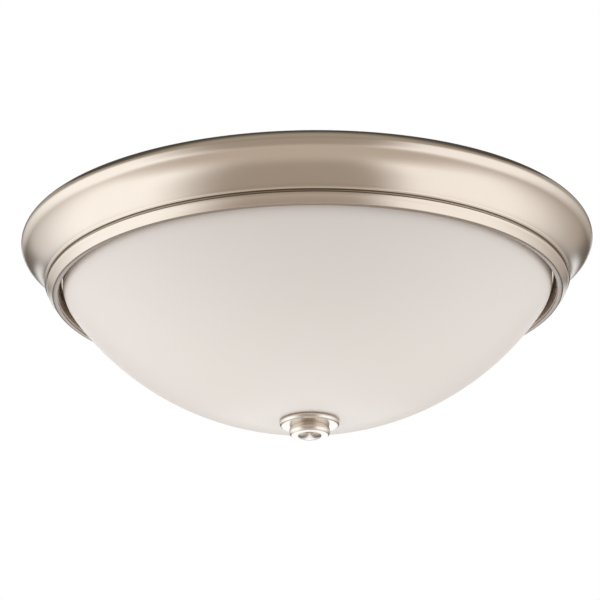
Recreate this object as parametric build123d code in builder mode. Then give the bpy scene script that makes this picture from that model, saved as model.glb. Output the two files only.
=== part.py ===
from build123d import *
from math import cos, hypot, pi, radians, sin, sqrt, tan
import os

os.makedirs("parts", exist_ok=True)

# All lengths are millimetres and all angles are degrees. The origin is the centre of the
# ceiling plane and +Z is up, so everything hangs below it and depths are counted downwards.

# ---------------------------------------------------------------- driving dimensions
# Pan: one drawn steel sheet. Seen from the ceiling down it has a round roll, a hollow cove,
# two small beads, a narrow hollow band and a turned lip, and then it turns back up inside
# to a ledge for the glass and a flat floor for the lamps.
pan_radius = 190.5
sheet = 0.8
rim_flange_width = 4.0
roll_radius = 6.7
cove_width = 15.6
cove_depth = 32.1
cove_foot_tilt = 4.0
upper_bead_width = 2.0
upper_bead_drop = 2.1
upper_bead_bulge = 1.0
lower_bead_width = 1.6
lower_bead_drop = 2.7
lower_bead_bulge = 0.6
band_width = 2.7
band_drop = 3.0
band_hollow = 0.4
lip_radius = 1.7
lip_start_angle = 20.0
lip_wall_draft = 0.8
ledge_depth = 31.5
ledge_width = 7.0
ledge_corner = 1.5
ledge_edge = 2.0
floor_depth = 12.0
floor_wall_draft = 2.5
floor_corner = 4.0

# Glass bowl: a spherical crown that turns up into a short upright skirt.
bowl_gap = 2.7
bowl_wall = 4.0
bowl_depth = 96.8
bowl_skirt = 8.5
bowl_shoulder = 18.0
bowl_rim_round = 1.4
bowl_hole_radius = 6.0
bowl_seat_radius = 16.5

# Centre rod, its nuts and washers, and the general clearance of a screw thread.
rod_radius = 3.175
rod_top_depth = 4.2
rod_hole_clearance = 0.25
rod_chamfer = 0.5
thread_clearance = 0.05
nut_across_flats = 11.1
nut_height = 5.0
lock_washer_radius = 6.0
lock_washer_height = 1.0

# Washers and finial under the glass.
collar_clearance = 0.25
rubber_radius = 15.0
rubber_height = 1.6
steel_washer_radius = 12.0
steel_washer_height = 1.2
washer_bore_clearance = 0.5
cap_radius = 19.9
cap_gap = 0.7
cap_plate = 1.4
cap_round = 2.9
cap_wall = 1.3
knob_radius = 13.4
knob_shoulder = 1.2
knob_height = 5.8
knob_belly = 2.5
button_radius = 7.6
button_step = 0.9
button_height = 1.8
button_dome = 1.2
knob_running_clearance = 0.08
rod_end_clearance = 0.8
knob_end_wall = 1.8

# Crossbar that is screwed to the ceiling box, and the screws that carry the pan.
crossbar_length = 128.0
crossbar_width = 19.0
crossbar_thickness = 1.6
crossbar_corner = 6.5
box_slot_offset = 39.7
box_slot_length = 14.4
box_slot_width = 4.8
stem_hole_radius = 5.0
pan_screw_offset = 55.0
pan_screw_radius = 2.08
pan_screw_head_radius = 4.1
pan_screw_head_height = 2.6
pan_screw_head_round = 1.0
driver_slot_length = 6.4
driver_slot_width = 1.0
driver_slot_depth = 1.0
keyhole_clearance = 0.35
keyhole_eye_clearance = 0.9
keyhole_turn = 10.0

# Ground screws and the bare wire between them.
ground_screw_radius = 2.08
ground_head_across_flats = 7.9
ground_head_height = 2.2
ground_bar_offset = 22.0
ground_pan_offset = 38.0
ground_thread_tail = 3.0
ground_wire_radius = 0.65

# Insulation pad over the pan's floor.
pad_inner_radius = 70.0
pad_outer_radius = 148.0
pad_height = 8.0

# Lampholders: two medium screw holders lie back to back, with their axes along Y.
holder_back = 20.0
holder_radius = 19.0
holder_length = 36.0
holder_back_wall = 6.0
holder_bore_radius = 14.4
holder_edge = 1.5
holder_collar_length = 10.0
holder_waist_radius = 17.2
holder_taper = 2.0
shell_sheet = 0.4
shell_flange_radius = 9.0
contact_radius = 4.0
contact_height = 1.9
contact_round = 0.9
bracket_thickness = 1.2
bracket_width = 26.0
bracket_foot = 27.0
bracket_drop_below_axis = 16.0
bracket_corner = 2.0
rivet_radius = 1.6
rivet_head_radius = 3.0
rivet_head_height = 1.0
rivet_spread = 8.0
rivet_setback = 18.0
holder_screw_radius = 1.5
holder_screw_spread = 11.0
holder_screw_depth = 4.5
holder_screw_head_radius = 2.8
holder_screw_head_height = 1.8

# Lamps: 60 mm globe, medium screw cap. A lamp reaches out until its globe is one gap away
# from the inside of the bowl's crown. The screw rings of the cap and of the holder's shell
# share one pitch and one start, so they nest.
globe_radius = 30.0
globe_bowl_gap = 9.4
globe_clearance = 3.0
glass_wall = 0.8
neck_radius = 12.5
neck_straight = 4.0
lamp_screw_radius = 13.1
lamp_screw_depth = 0.85
lamp_screw_pitch = 3.63
lamp_screw_rings = 5
lamp_screw_clearance = 0.35
ring_round = 1.4
cap_sheet = 0.3
cap_taper = 3.2
cap_shoulder = 1.4
cap_collar = 1.5
lamp_contact_depth = 8.0
lamp_contact_radius = 4.5
lamp_contact_height = 1.2
lamp_contact_round = 0.7
insulator_radius = 9.4
insulator_height = 1.4
stem_radius = 3.0
stem_length = 27.0
stem_flare_length = 8.0
filament_radius = 0.35
filament_span = 22.0
filament_height = 18.0
filament_foot = 4.0
filament_foot_spread = 3.6

# Leads: each leaves the back of a holder, turns up through a bushing in the floor and
# bends round to the mouth of a wire connector.
lead_radius = 1.1
lead_spread = 9.0
lead_pocket_depth = 5.0
lead_pocket_clearance = 0.15
lead_hole_clearance = 1.1
bushing_offset = 8.0
bushing_wall = 0.9
bushing_flange = 1.0
bushing_flange_height = 0.8
bushing_fit = 0.1
connector_mouth_radius = 4.9
connector_end_radius = 3.6
connector_length = 20.0
connector_wire_depth = 12.0
connector_wall = 1.9
connector_grip_length = 8.0
connector_end_round = 1.5
connector_mouth_x = -18.0
connector_offset = 26.0
near_loop_x = -26.3
far_loop_x = -30.4
wire_pair_gap = 0.2

# ---------------------------------------------------------------- places that follow
cove_foot_radius = pan_radius - cove_width
groove_radius = cove_foot_radius - upper_bead_width
groove_depth = cove_depth + upper_bead_drop
lower_bead_end_radius = groove_radius - lower_bead_width
lower_bead_end_depth = groove_depth + lower_bead_drop
band_end_radius = lower_bead_end_radius - band_width
band_end_depth = lower_bead_end_depth + band_drop
lip_centre_radius = band_end_radius - lip_radius * cos(radians(lip_start_angle))
lip_centre_depth = band_end_depth + lip_radius * sin(radians(lip_start_angle))
lip_inner_radius = lip_centre_radius - lip_radius
ledge_outer_radius = lip_inner_radius - lip_wall_draft
ledge_inner_radius = ledge_outer_radius - ledge_width
floor_radius = ledge_inner_radius - floor_wall_draft
floor_top_depth = floor_depth - sheet
rod_hole_radius = rod_radius + rod_hole_clearance

bowl_radius = lip_inner_radius - bowl_gap
crown_height = bowl_depth - bowl_skirt
crown_radius = (bowl_radius**2 + crown_height**2) / (2 * crown_height)
crown_bottom_depth = ledge_depth + bowl_depth
crown_centre_z = crown_radius - crown_bottom_depth
bowl_inner_radius = crown_radius - bowl_wall


def crown_z(radius, reach):
    """Height of a sphere about the crown's centre, on its lower side, at a reach from the axis."""
    return crown_centre_z - sqrt(radius**2 - reach**2)


seat_z = crown_z(crown_radius, bowl_seat_radius)
cap_top_z = crown_z(crown_radius, cap_radius) - cap_gap
steel_washer_z = seat_z - rubber_height - steel_washer_height
cap_bottom_z = steel_washer_z - cap_plate
knob_low_z = cap_bottom_z - knob_height
button_z = knob_low_z - button_step
knob_bottom_z = button_z - button_height
knob_bore_end_z = knob_bottom_z + knob_end_wall
rod_bottom_z = knob_bore_end_z + rod_end_clearance
rod_bore_radius = rod_radius + washer_bore_clearance

lamp_depth = floor_depth + globe_clearance + globe_radius
globe_to_crown_centre = bowl_inner_radius - globe_radius - globe_bowl_gap
globe_reach = sqrt(globe_to_crown_centre**2 - (crown_centre_z + lamp_depth) ** 2)
globe_centre_reach = globe_reach - holder_back
lamp_length = globe_centre_reach + globe_radius - lamp_contact_depth
screw_start = lamp_contact_depth + lamp_contact_height + insulator_height + cap_taper
screw_low_radius = lamp_screw_radius - lamp_screw_depth
collar_reach = screw_start + (lamp_screw_rings - 0.5) * lamp_screw_pitch + cap_shoulder
cap_end_reach = collar_reach + cap_collar
collar_radius = neck_radius + thread_clearance + cap_sheet
bushing_bore = lead_radius + lead_hole_clearance
bushing_radius = bushing_bore + bushing_wall
bushing_hole_radius = bushing_radius + bushing_fit
lead_level = connector_mouth_radius - floor_top_depth
ground_wire_reach = ground_bar_offset + ground_screw_radius + ground_wire_radius


# ---------------------------------------------------------------- helpers
def lamp_plane(side):
    """Plane through a lamp's axis: x is the radius and y runs out from the holder's back."""
    return Plane(origin=(0, side * holder_back, -lamp_depth), x_dir=(1, 0, 0), z_dir=(0, 0, side))


def lamp_axis(side):
    """Axis of a lamp, pointing out of its holder."""
    return Axis((0, side * holder_back, -lamp_depth), (0, side, 0))


def back_plane(side):
    """Plane on a holder's back face: x is across, y is up and z points at the centre rod."""
    return Plane(origin=(0, side * holder_back, -lamp_depth), x_dir=(side, 0, 0), z_dir=(0, -side, 0))


def bulged(start, end, bulge):
    """Three points of an arc from start to end that bulges to the left of the way it goes."""
    run = (end[0] - start[0], end[1] - start[1])
    length = hypot(*run)
    middle = ((start[0] + end[0]) / 2, (start[1] + end[1]) / 2)
    return start, (middle[0] - bulge * run[1] / length, middle[1] + bulge * run[0] / length), end


def screw_rings(low, high, count):
    """Points of a row of screw rings, from the hollow before the first to the one after the last."""
    points = [(low, screw_start - lamp_screw_pitch / 2)]
    for ring in range(count):
        points.append((high, screw_start + ring * lamp_screw_pitch))
        points.append((low, screw_start + (ring + 0.5) * lamp_screw_pitch))
    return points


def route_radii(points, name):
    """Radii of a wire's arcs, each as large as its two runs allow, printed with the wire's name."""
    corners = [Vector(*point) for point in points]
    radii = []
    for before, corner, after in zip(corners, corners[1:], corners[2:]):
        turn = (corner - before).get_angle(after - corner)
        shorter = min((corner - before).length, (after - corner).length)
        radii.append(0.45 * shorter / tan(radians(turn) / 2))
    print(name, "arc radii", [round(radius, 1) for radius in radii])
    return radii


# ---------------------------------------------------------------- pan
# The cove's circle touches the roll's circle from outside and ends at the cove's foot.
tilt = radians(cove_foot_tilt)
roll_to_foot_r = cove_foot_radius - (pan_radius - roll_radius)
roll_to_foot_z = roll_radius - cove_depth
cove_radius = (roll_to_foot_r**2 + roll_to_foot_z**2 - roll_radius**2) / (
    2 * (roll_radius - roll_to_foot_r * cos(tilt) + roll_to_foot_z * sin(tilt))
)
cove_centre = (cove_foot_radius + cove_radius * cos(tilt), -cove_depth - cove_radius * sin(tilt))
roll_centre = (pan_radius - roll_radius, -roll_radius)
meet_share = roll_radius / (roll_radius + cove_radius)
roll_end = (
    roll_centre[0] + meet_share * (cove_centre[0] - roll_centre[0]),
    roll_centre[1] + meet_share * (cove_centre[1] - roll_centre[1]),
)

with BuildPart() as pan:
    with BuildSketch(Plane.XZ) as pan_section:
        with BuildLine() as pan_face:
            roll_start = (roll_centre[0], 0)
            cove_foot = (cove_foot_radius, -cove_depth)
            groove = (groove_radius, -groove_depth)
            lower_bead_end = (lower_bead_end_radius, -lower_bead_end_depth)
            band_end = (band_end_radius, -band_end_depth)
            lip_bottom = (lip_centre_radius, -lip_centre_depth - lip_radius)
            lip_inside = (lip_inner_radius, -lip_centre_depth)
            Line((roll_centre[0] - rim_flange_width, 0), roll_start)
            ThreePointArc(roll_start, (pan_radius, -roll_radius), roll_end)
            RadiusArc(roll_end, cove_foot, cove_radius)
            ThreePointArc(*bulged(cove_foot, groove, upper_bead_bulge))
            ThreePointArc(*bulged(groove, lower_bead_end, lower_bead_bulge))
            ThreePointArc(*bulged(lower_bead_end, band_end, -band_hollow))
            ThreePointArc(band_end, lip_bottom, lip_inside)
            FilletPolyline(
                lip_inside,
                (ledge_outer_radius, -ledge_depth),
                (ledge_inner_radius, -ledge_depth),
                (floor_radius, -floor_depth),
                (rod_hole_radius, -floor_depth),
                radius=[ledge_corner, ledge_edge, floor_corner],
            )
            offset(amount=sheet, side=Side.RIGHT)
        make_face()
    revolve(axis=Axis.Z)
    with BuildSketch(Plane.XY.offset(-floor_depth)) as pan_holes:
        keyhole_radius = pan_screw_radius + keyhole_clearance
        keyhole_eye_radius = pan_screw_head_radius + keyhole_eye_clearance
        for start in (0, 180):
            with BuildLine(mode=Mode.PRIVATE) as slot_arc:
                CenterArc((0, 0), pan_screw_offset, start, keyhole_turn)
            SlotArc(slot_arc.edge(), 2 * keyhole_radius)
            with PolarLocations(pan_screw_offset, 1, start_angle=start + keyhole_turn):
                Circle(keyhole_eye_radius)
        with GridLocations(2 * lead_spread, 2 * bushing_offset, 2, 2):
            Circle(bushing_hole_radius)
        with GridLocations(2 * rivet_spread, 2 * (holder_back + rivet_setback), 2, 2):
            Circle(rivet_radius)
        with Locations((ground_bar_offset, ground_pan_offset)):
            Circle(ground_screw_radius)
    extrude(amount=2 * sheet, both=True, mode=Mode.SUBTRACT)
pan.part.label = "pan"
export_step(pan.part, "parts/pan.step")
print("cove radius", round(cove_radius, 2), "crown radius", round(crown_radius, 2))
print("lowest point", round(knob_bottom_z, 2), "lamp length", round(lamp_length, 2))

# ---------------------------------------------------------------- glass bowl
with BuildPart() as glass_bowl:
    with BuildSketch(Plane.XZ) as bowl_section:
        with BuildLine() as bowl_outline:
            shoulder_z = -ledge_depth - bowl_skirt
            inner_skirt = bowl_radius - bowl_wall
            inner_shoulder_z = crown_z(bowl_inner_radius, inner_skirt)
            hole_low = (bowl_hole_radius, seat_z)
            seat_edge = (bowl_seat_radius, seat_z)
            shoulder = (bowl_radius, shoulder_z)
            rim_outer = (bowl_radius, -ledge_depth)
            rim_inner = (inner_skirt, -ledge_depth)
            inner_shoulder = (inner_skirt, inner_shoulder_z)
            hole_high = (bowl_hole_radius, crown_z(bowl_inner_radius, bowl_hole_radius))
            Line(hole_low, seat_edge)
            RadiusArc(seat_edge, shoulder, -crown_radius)
            Line(shoulder, rim_outer)
            Line(rim_outer, rim_inner)
            Line(rim_inner, inner_shoulder)
            RadiusArc(inner_shoulder, hole_high, bowl_inner_radius)
            Line(hole_high, hole_low)
        make_face()
        for corner, radius in (
            (shoulder, bowl_shoulder),
            (inner_shoulder, bowl_shoulder - bowl_wall),
            (rim_outer, bowl_rim_round),
            (rim_inner, bowl_rim_round),
        ):
            fillet(bowl_section.vertices().sort_by_distance((*corner, 0))[0], radius)
    revolve(axis=Axis.Z)
glass_bowl.part.label = "glass_bowl"
export_step(glass_bowl.part, "parts/glass_bowl.step")

# ---------------------------------------------------------------- washers and finial
with BuildPart() as rubber_washer:
    with BuildSketch(Plane.XY.offset(seat_z - rubber_height)) as rubber_flange:
        Circle(rubber_radius)
        Circle(rod_bore_radius, mode=Mode.SUBTRACT)
    extrude(amount=rubber_height)
    with BuildSketch(Plane.XY.offset(seat_z)) as rubber_collar:
        Circle(bowl_hole_radius - collar_clearance)
        Circle(rod_bore_radius, mode=Mode.SUBTRACT)
    extrude(amount=crown_z(bowl_inner_radius, 0) - seat_z)
rubber_washer.part.label = "rubber_washer"
export_step(rubber_washer.part, "parts/rubber_washer.step")

with BuildPart() as steel_washer:
    with BuildSketch(Plane.XY.offset(steel_washer_z)) as steel_washer_face:
        Circle(steel_washer_radius)
        Circle(rod_bore_radius, mode=Mode.SUBTRACT)
    extrude(amount=steel_washer_height)
steel_washer.part.label = "steel_washer"
export_step(steel_washer.part, "parts/steel_washer.step")

with BuildPart() as finial_cap:
    with BuildSketch(Plane.XZ) as cap_section:
        with BuildLine() as cap_outline:
            cap_round_start = (cap_radius - cap_round, cap_bottom_z)
            cap_round_end = (cap_radius, cap_bottom_z + cap_round)
            cap_inner_round = cap_round - cap_wall
            inner_radius = cap_radius - cap_wall
            Line((rod_bore_radius, cap_bottom_z), cap_round_start)
            RadiusArc(cap_round_start, cap_round_end, -cap_round)
            Line(cap_round_end, (cap_radius, cap_top_z))
            Line((cap_radius, cap_top_z), (inner_radius, cap_top_z))
            Line((inner_radius, cap_top_z), (inner_radius, steel_washer_z + cap_inner_round))
            RadiusArc(
                (inner_radius, steel_washer_z + cap_inner_round),
                (inner_radius - cap_inner_round, steel_washer_z),
                cap_inner_round,
            )
            Line((inner_radius - cap_inner_round, steel_washer_z), (rod_bore_radius, steel_washer_z))
            Line((rod_bore_radius, steel_washer_z), (rod_bore_radius, cap_bottom_z))
        make_face()
    revolve(axis=Axis.Z)
finial_cap.part.label = "finial_cap"
export_step(finial_cap.part, "parts/finial_cap.step")

with BuildPart() as finial_knob:
    with BuildSketch(Plane.XZ) as knob_section:
        with BuildLine() as knob_outline:
            knob_bore = rod_radius + knob_running_clearance
            knob_top_edge = (knob_radius - knob_shoulder, cap_bottom_z)
            knob_widest = (knob_radius, cap_bottom_z - knob_belly)
            knob_low_edge = (knob_radius - knob_shoulder, knob_low_z)
            button_edge = (button_radius, button_z)
            button_low_edge = (button_radius, knob_bottom_z + button_dome)
            dome_radius = (button_radius**2 + button_dome**2) / (2 * button_dome)
            Line((knob_bore, cap_bottom_z), knob_top_edge)
            ThreePointArc(knob_top_edge, knob_widest, knob_low_edge)
            Line(knob_low_edge, button_edge)
            Line(button_edge, button_low_edge)
            RadiusArc(button_low_edge, (0, knob_bottom_z), dome_radius)
            Line((0, knob_bottom_z), (0, knob_bore_end_z))
            Line((0, knob_bore_end_z), (knob_bore, knob_bore_end_z))
            Line((knob_bore, knob_bore_end_z), (knob_bore, cap_bottom_z))
        make_face()
    revolve(axis=Axis.Z)
finial_knob.part.label = "finial_knob"
export_step(finial_knob.part, "parts/finial_knob.step")

# ---------------------------------------------------------------- centre rod
with BuildPart() as centre_rod:
    with BuildSketch(Plane.XY.offset(rod_bottom_z)) as rod_face:
        Circle(rod_radius)
    extrude(amount=-rod_top_depth - rod_bottom_z)
    chamfer(centre_rod.edges().filter_by(GeomType.CIRCLE), rod_chamfer)
centre_rod.part.label = "centre_rod"
export_step(centre_rod.part, "parts/centre_rod.step")

above_floor = -floor_top_depth
below_floor = -floor_depth
with BuildPart() as rod_lock_washers:
    for level in (above_floor, below_floor - lock_washer_height):
        with BuildSketch(Plane.XY.offset(level)) as lock_washer_face:
            Circle(lock_washer_radius)
            Circle(rod_hole_radius, mode=Mode.SUBTRACT)
        extrude(amount=lock_washer_height)
rod_lock_washers.part.label = "rod_lock_washers"
export_step(rod_lock_washers.part, "parts/rod_lock_washers.step")

with BuildPart() as rod_nuts:
    for level in (above_floor + lock_washer_height, below_floor - lock_washer_height - nut_height):
        with BuildSketch(Plane.XY.offset(level)) as rod_nut_face:
            RegularPolygon(nut_across_flats / 2, 6, major_radius=False)
            Circle(rod_radius + thread_clearance, mode=Mode.SUBTRACT)
        extrude(amount=nut_height)
rod_nuts.part.label = "rod_nuts"
export_step(rod_nuts.part, "parts/rod_nuts.step")

# ---------------------------------------------------------------- crossbar and pan screws
with BuildPart() as crossbar:
    with BuildSketch() as crossbar_face:
        RectangleRounded(crossbar_length, crossbar_width, crossbar_corner)
        Circle(stem_hole_radius, mode=Mode.SUBTRACT)
        with GridLocations(2 * box_slot_offset, 0, 2, 1):
            SlotOverall(box_slot_length, box_slot_width, mode=Mode.SUBTRACT)
        with GridLocations(2 * pan_screw_offset, 0, 2, 1):
            Circle(pan_screw_radius, mode=Mode.SUBTRACT)
        with Locations((ground_bar_offset, 0)):
            Circle(ground_screw_radius, mode=Mode.SUBTRACT)
    extrude(amount=-crossbar_thickness)
crossbar.part.label = "crossbar"
export_step(crossbar.part, "parts/crossbar.step")

with BuildPart() as pan_screws:
    with BuildSketch(Plane.XY.offset(below_floor - pan_screw_head_height)) as pan_screw_heads:
        with GridLocations(2 * pan_screw_offset, 0, 2, 1):
            Circle(pan_screw_head_radius)
    extrude(amount=pan_screw_head_height)
    fillet(pan_screws.edges().group_by(Axis.Z)[0], pan_screw_head_round)
    with BuildSketch(Plane.XY.offset(below_floor)) as pan_screw_shanks:
        with GridLocations(2 * pan_screw_offset, 0, 2, 1):
            Circle(pan_screw_radius)
    extrude(amount=floor_depth)
    with BuildSketch(Plane.XY.offset(below_floor - pan_screw_head_height)) as pan_screw_slots:
        with GridLocations(2 * pan_screw_offset, 0, 2, 1):
            Rectangle(driver_slot_length, driver_slot_width)
    extrude(amount=driver_slot_depth, mode=Mode.SUBTRACT)
pan_screws.part.label = "pan_screws"
export_step(pan_screws.part, "parts/pan_screws.step")

# ---------------------------------------------------------------- ground screws and wire
bar_head_z = -crossbar_thickness - 2 * ground_wire_radius - ground_head_height
pan_head_z = -floor_top_depth + 2 * ground_wire_radius
with BuildPart() as ground_screws:
    for centre, head_z, shank_z, shank_length in (
        ((ground_bar_offset, 0), bar_head_z, bar_head_z, -bar_head_z),
        (
            (ground_bar_offset, ground_pan_offset),
            pan_head_z,
            -floor_depth - ground_thread_tail,
            pan_head_z + floor_depth + ground_thread_tail,
        ),
    ):
        with BuildSketch(Plane.XY.offset(head_z)) as ground_head:
            with Locations(centre):
                RegularPolygon(ground_head_across_flats / 2, 6, major_radius=False)
        extrude(amount=ground_head_height)
        with BuildSketch(Plane.XY.offset(shank_z)) as ground_shank:
            with Locations(centre):
                Circle(ground_screw_radius)
        extrude(amount=shank_length)
ground_screws.part.label = "ground_screws"
export_step(ground_screws.part, "parts/ground_screws.step")


# ---------------------------------------------------------------- wires
def make_wire(points, radius, name):
    """A round wire along straight runs joined by tangent arcs, with its volume printed."""
    with BuildPart() as wire:
        with BuildLine() as route:
            FilletPolyline(*points, radius=route_radii(points, name))
        path = route.wire()
        with BuildSketch(Plane(path @ 0, z_dir=path % 0)) as wire_section:
            Circle(radius)
        sweep(path=path)
    expected = pi * radius**2 * path.length
    print(name, "volume", round(wire.part.volume, 1), "section times length", round(expected, 1))
    return wire


ground_high = -crossbar_thickness - ground_wire_radius
ground_low = -floor_top_depth + ground_wire_radius
ground_points = [
    (ground_wire_reach, -3.6, ground_high),
    (ground_wire_reach, 11.4, ground_high),
    (ground_wire_reach, 23.6, ground_low),
    (ground_wire_reach, ground_pan_offset + 3.6, ground_low),
]
ground_wire = make_wire(ground_points, ground_wire_radius, "ground_wire")
ground_wire.part.label = "ground_wire"
export_step(ground_wire.part, "parts/ground_wire.step")

# The black leads run to one connector. The white ones are the same routes turned half round.
lead_start = holder_back + lead_pocket_depth
lead_mid_level = -24.8
near_wire_y = connector_offset - lead_radius - wire_pair_gap / 2
far_wire_y = connector_offset + lead_radius + wire_pair_gap / 2
wire_end_x = connector_mouth_x + connector_wire_depth
near_route = [
    (-lead_spread, lead_start, -lamp_depth),
    (-lead_spread, bushing_offset + 0.5, -lamp_depth),
    (-lead_spread + 0.3, bushing_offset, lead_mid_level),
    (-lead_spread + 0.3, bushing_offset + 0.2, lead_level),
    (near_loop_x, bushing_offset + 0.3, lead_level),
    (near_loop_x + 0.3, near_wire_y, lead_level),
    (wire_end_x, near_wire_y, lead_level),
]
far_route = [
    (-lead_spread, -lead_start, -lamp_depth),
    (-lead_spread, -bushing_offset - 0.5, -lamp_depth),
    (-lead_spread + 0.3, -bushing_offset, lead_mid_level),
    (-lead_spread + 0.3, -bushing_offset - 0.2, lead_level),
    (far_loop_x, -bushing_offset - 0.3, lead_level),
    (far_loop_x - 0.2, 10.1, lead_level),
    (far_loop_x + 0.2, far_wire_y, lead_level),
    (wire_end_x, far_wire_y, lead_level),
]
for name, route_points, turn in (
    ("lead_black_1", near_route, 1),
    ("lead_black_2", far_route, 1),
    ("lead_white_2", near_route, -1),
    ("lead_white_1", far_route, -1),
):
    lead = make_wire([(turn * x, turn * y, z) for x, y, z in route_points], lead_radius, name)
    lead.part.label = name
    export_step(lead.part, f"parts/{name}.step")

with BuildPart() as lead_bushings:
    for level, radius, height in (
        (below_floor - bushing_flange_height, bushing_radius + bushing_flange, bushing_flange_height),
        (below_floor, bushing_radius, sheet),
        (above_floor, bushing_radius + bushing_flange, bushing_flange_height),
    ):
        with BuildSketch(Plane.XY.offset(level)) as bushing_ring:
            with GridLocations(2 * lead_spread, 2 * bushing_offset, 2, 2):
                Circle(radius)
                Circle(bushing_bore, mode=Mode.SUBTRACT)
        extrude(amount=height)
lead_bushings.part.label = "lead_bushings"
export_step(lead_bushings.part, "parts/lead_bushings.step")

for name, turn in (("connector_black", 1), ("connector_white", -1)):
    mouth = (turn * connector_mouth_x, turn * connector_offset, lead_level)
    connector_plane = Plane(origin=mouth, x_dir=(0, 0, 1), z_dir=(0, turn, 0))
    connector_bore = connector_mouth_radius - connector_wall
    with BuildPart() as connector:
        with BuildSketch(connector_plane) as connector_section:
            with BuildLine() as connector_outline:
                Polyline(
                    (0, connector_wire_depth),
                    (connector_bore, connector_wire_depth),
                    (connector_bore, 0),
                    (connector_mouth_radius, 0),
                    (connector_mouth_radius, connector_grip_length),
                    (connector_end_radius, connector_length),
                    (0, connector_length),
                    close=True,
                )
            make_face()
        revolve(axis=Axis(mouth, (turn, 0, 0)))
        end_edge = connector.edges().filter_by(GeomType.CIRCLE).sort_by(Axis.X)[-1 if turn > 0 else 0]
        fillet(end_edge, connector_end_round)
    connector.part.label = name
    export_step(connector.part, f"parts/{name}.step")

# ---------------------------------------------------------------- insulation pad
with BuildPart() as insulation_pad:
    with BuildSketch(Plane.XY.offset(-floor_top_depth)) as pad_ring:
        Circle(pad_outer_radius)
        Circle(pad_inner_radius, mode=Mode.SUBTRACT)
    extrude(amount=pad_height)
insulation_pad.part.label = "insulation_pad"
export_step(insulation_pad.part, "parts/insulation_pad.step")

# ---------------------------------------------------------------- lampholders and lamps
tip_reach = lamp_contact_depth + lamp_length
insulator_reach = lamp_contact_depth + lamp_contact_height
cap_start_reach = insulator_reach + insulator_height
shell_low_radius = screw_low_radius + lamp_screw_clearance
shell_high_radius = lamp_screw_radius + lamp_screw_clearance
neck_curve_reach = cap_end_reach + neck_straight
neck_run = globe_centre_reach - neck_curve_reach
neck_curve_radius = (neck_run**2 + neck_radius**2 - globe_radius**2) / (2 * (globe_radius - neck_radius))
neck_centre = neck_radius + neck_curve_radius
touch_share = globe_radius / (globe_radius + neck_curve_radius)
globe_touch = (
    touch_share * neck_centre,
    globe_centre_reach - touch_share * neck_run,
)
stem_foot_reach = cap_end_reach + glass_wall
stem_top_reach = stem_foot_reach + stem_length
foot_end = holder_back + bracket_foot
floor_above_axis = lamp_depth - floor_depth

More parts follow.
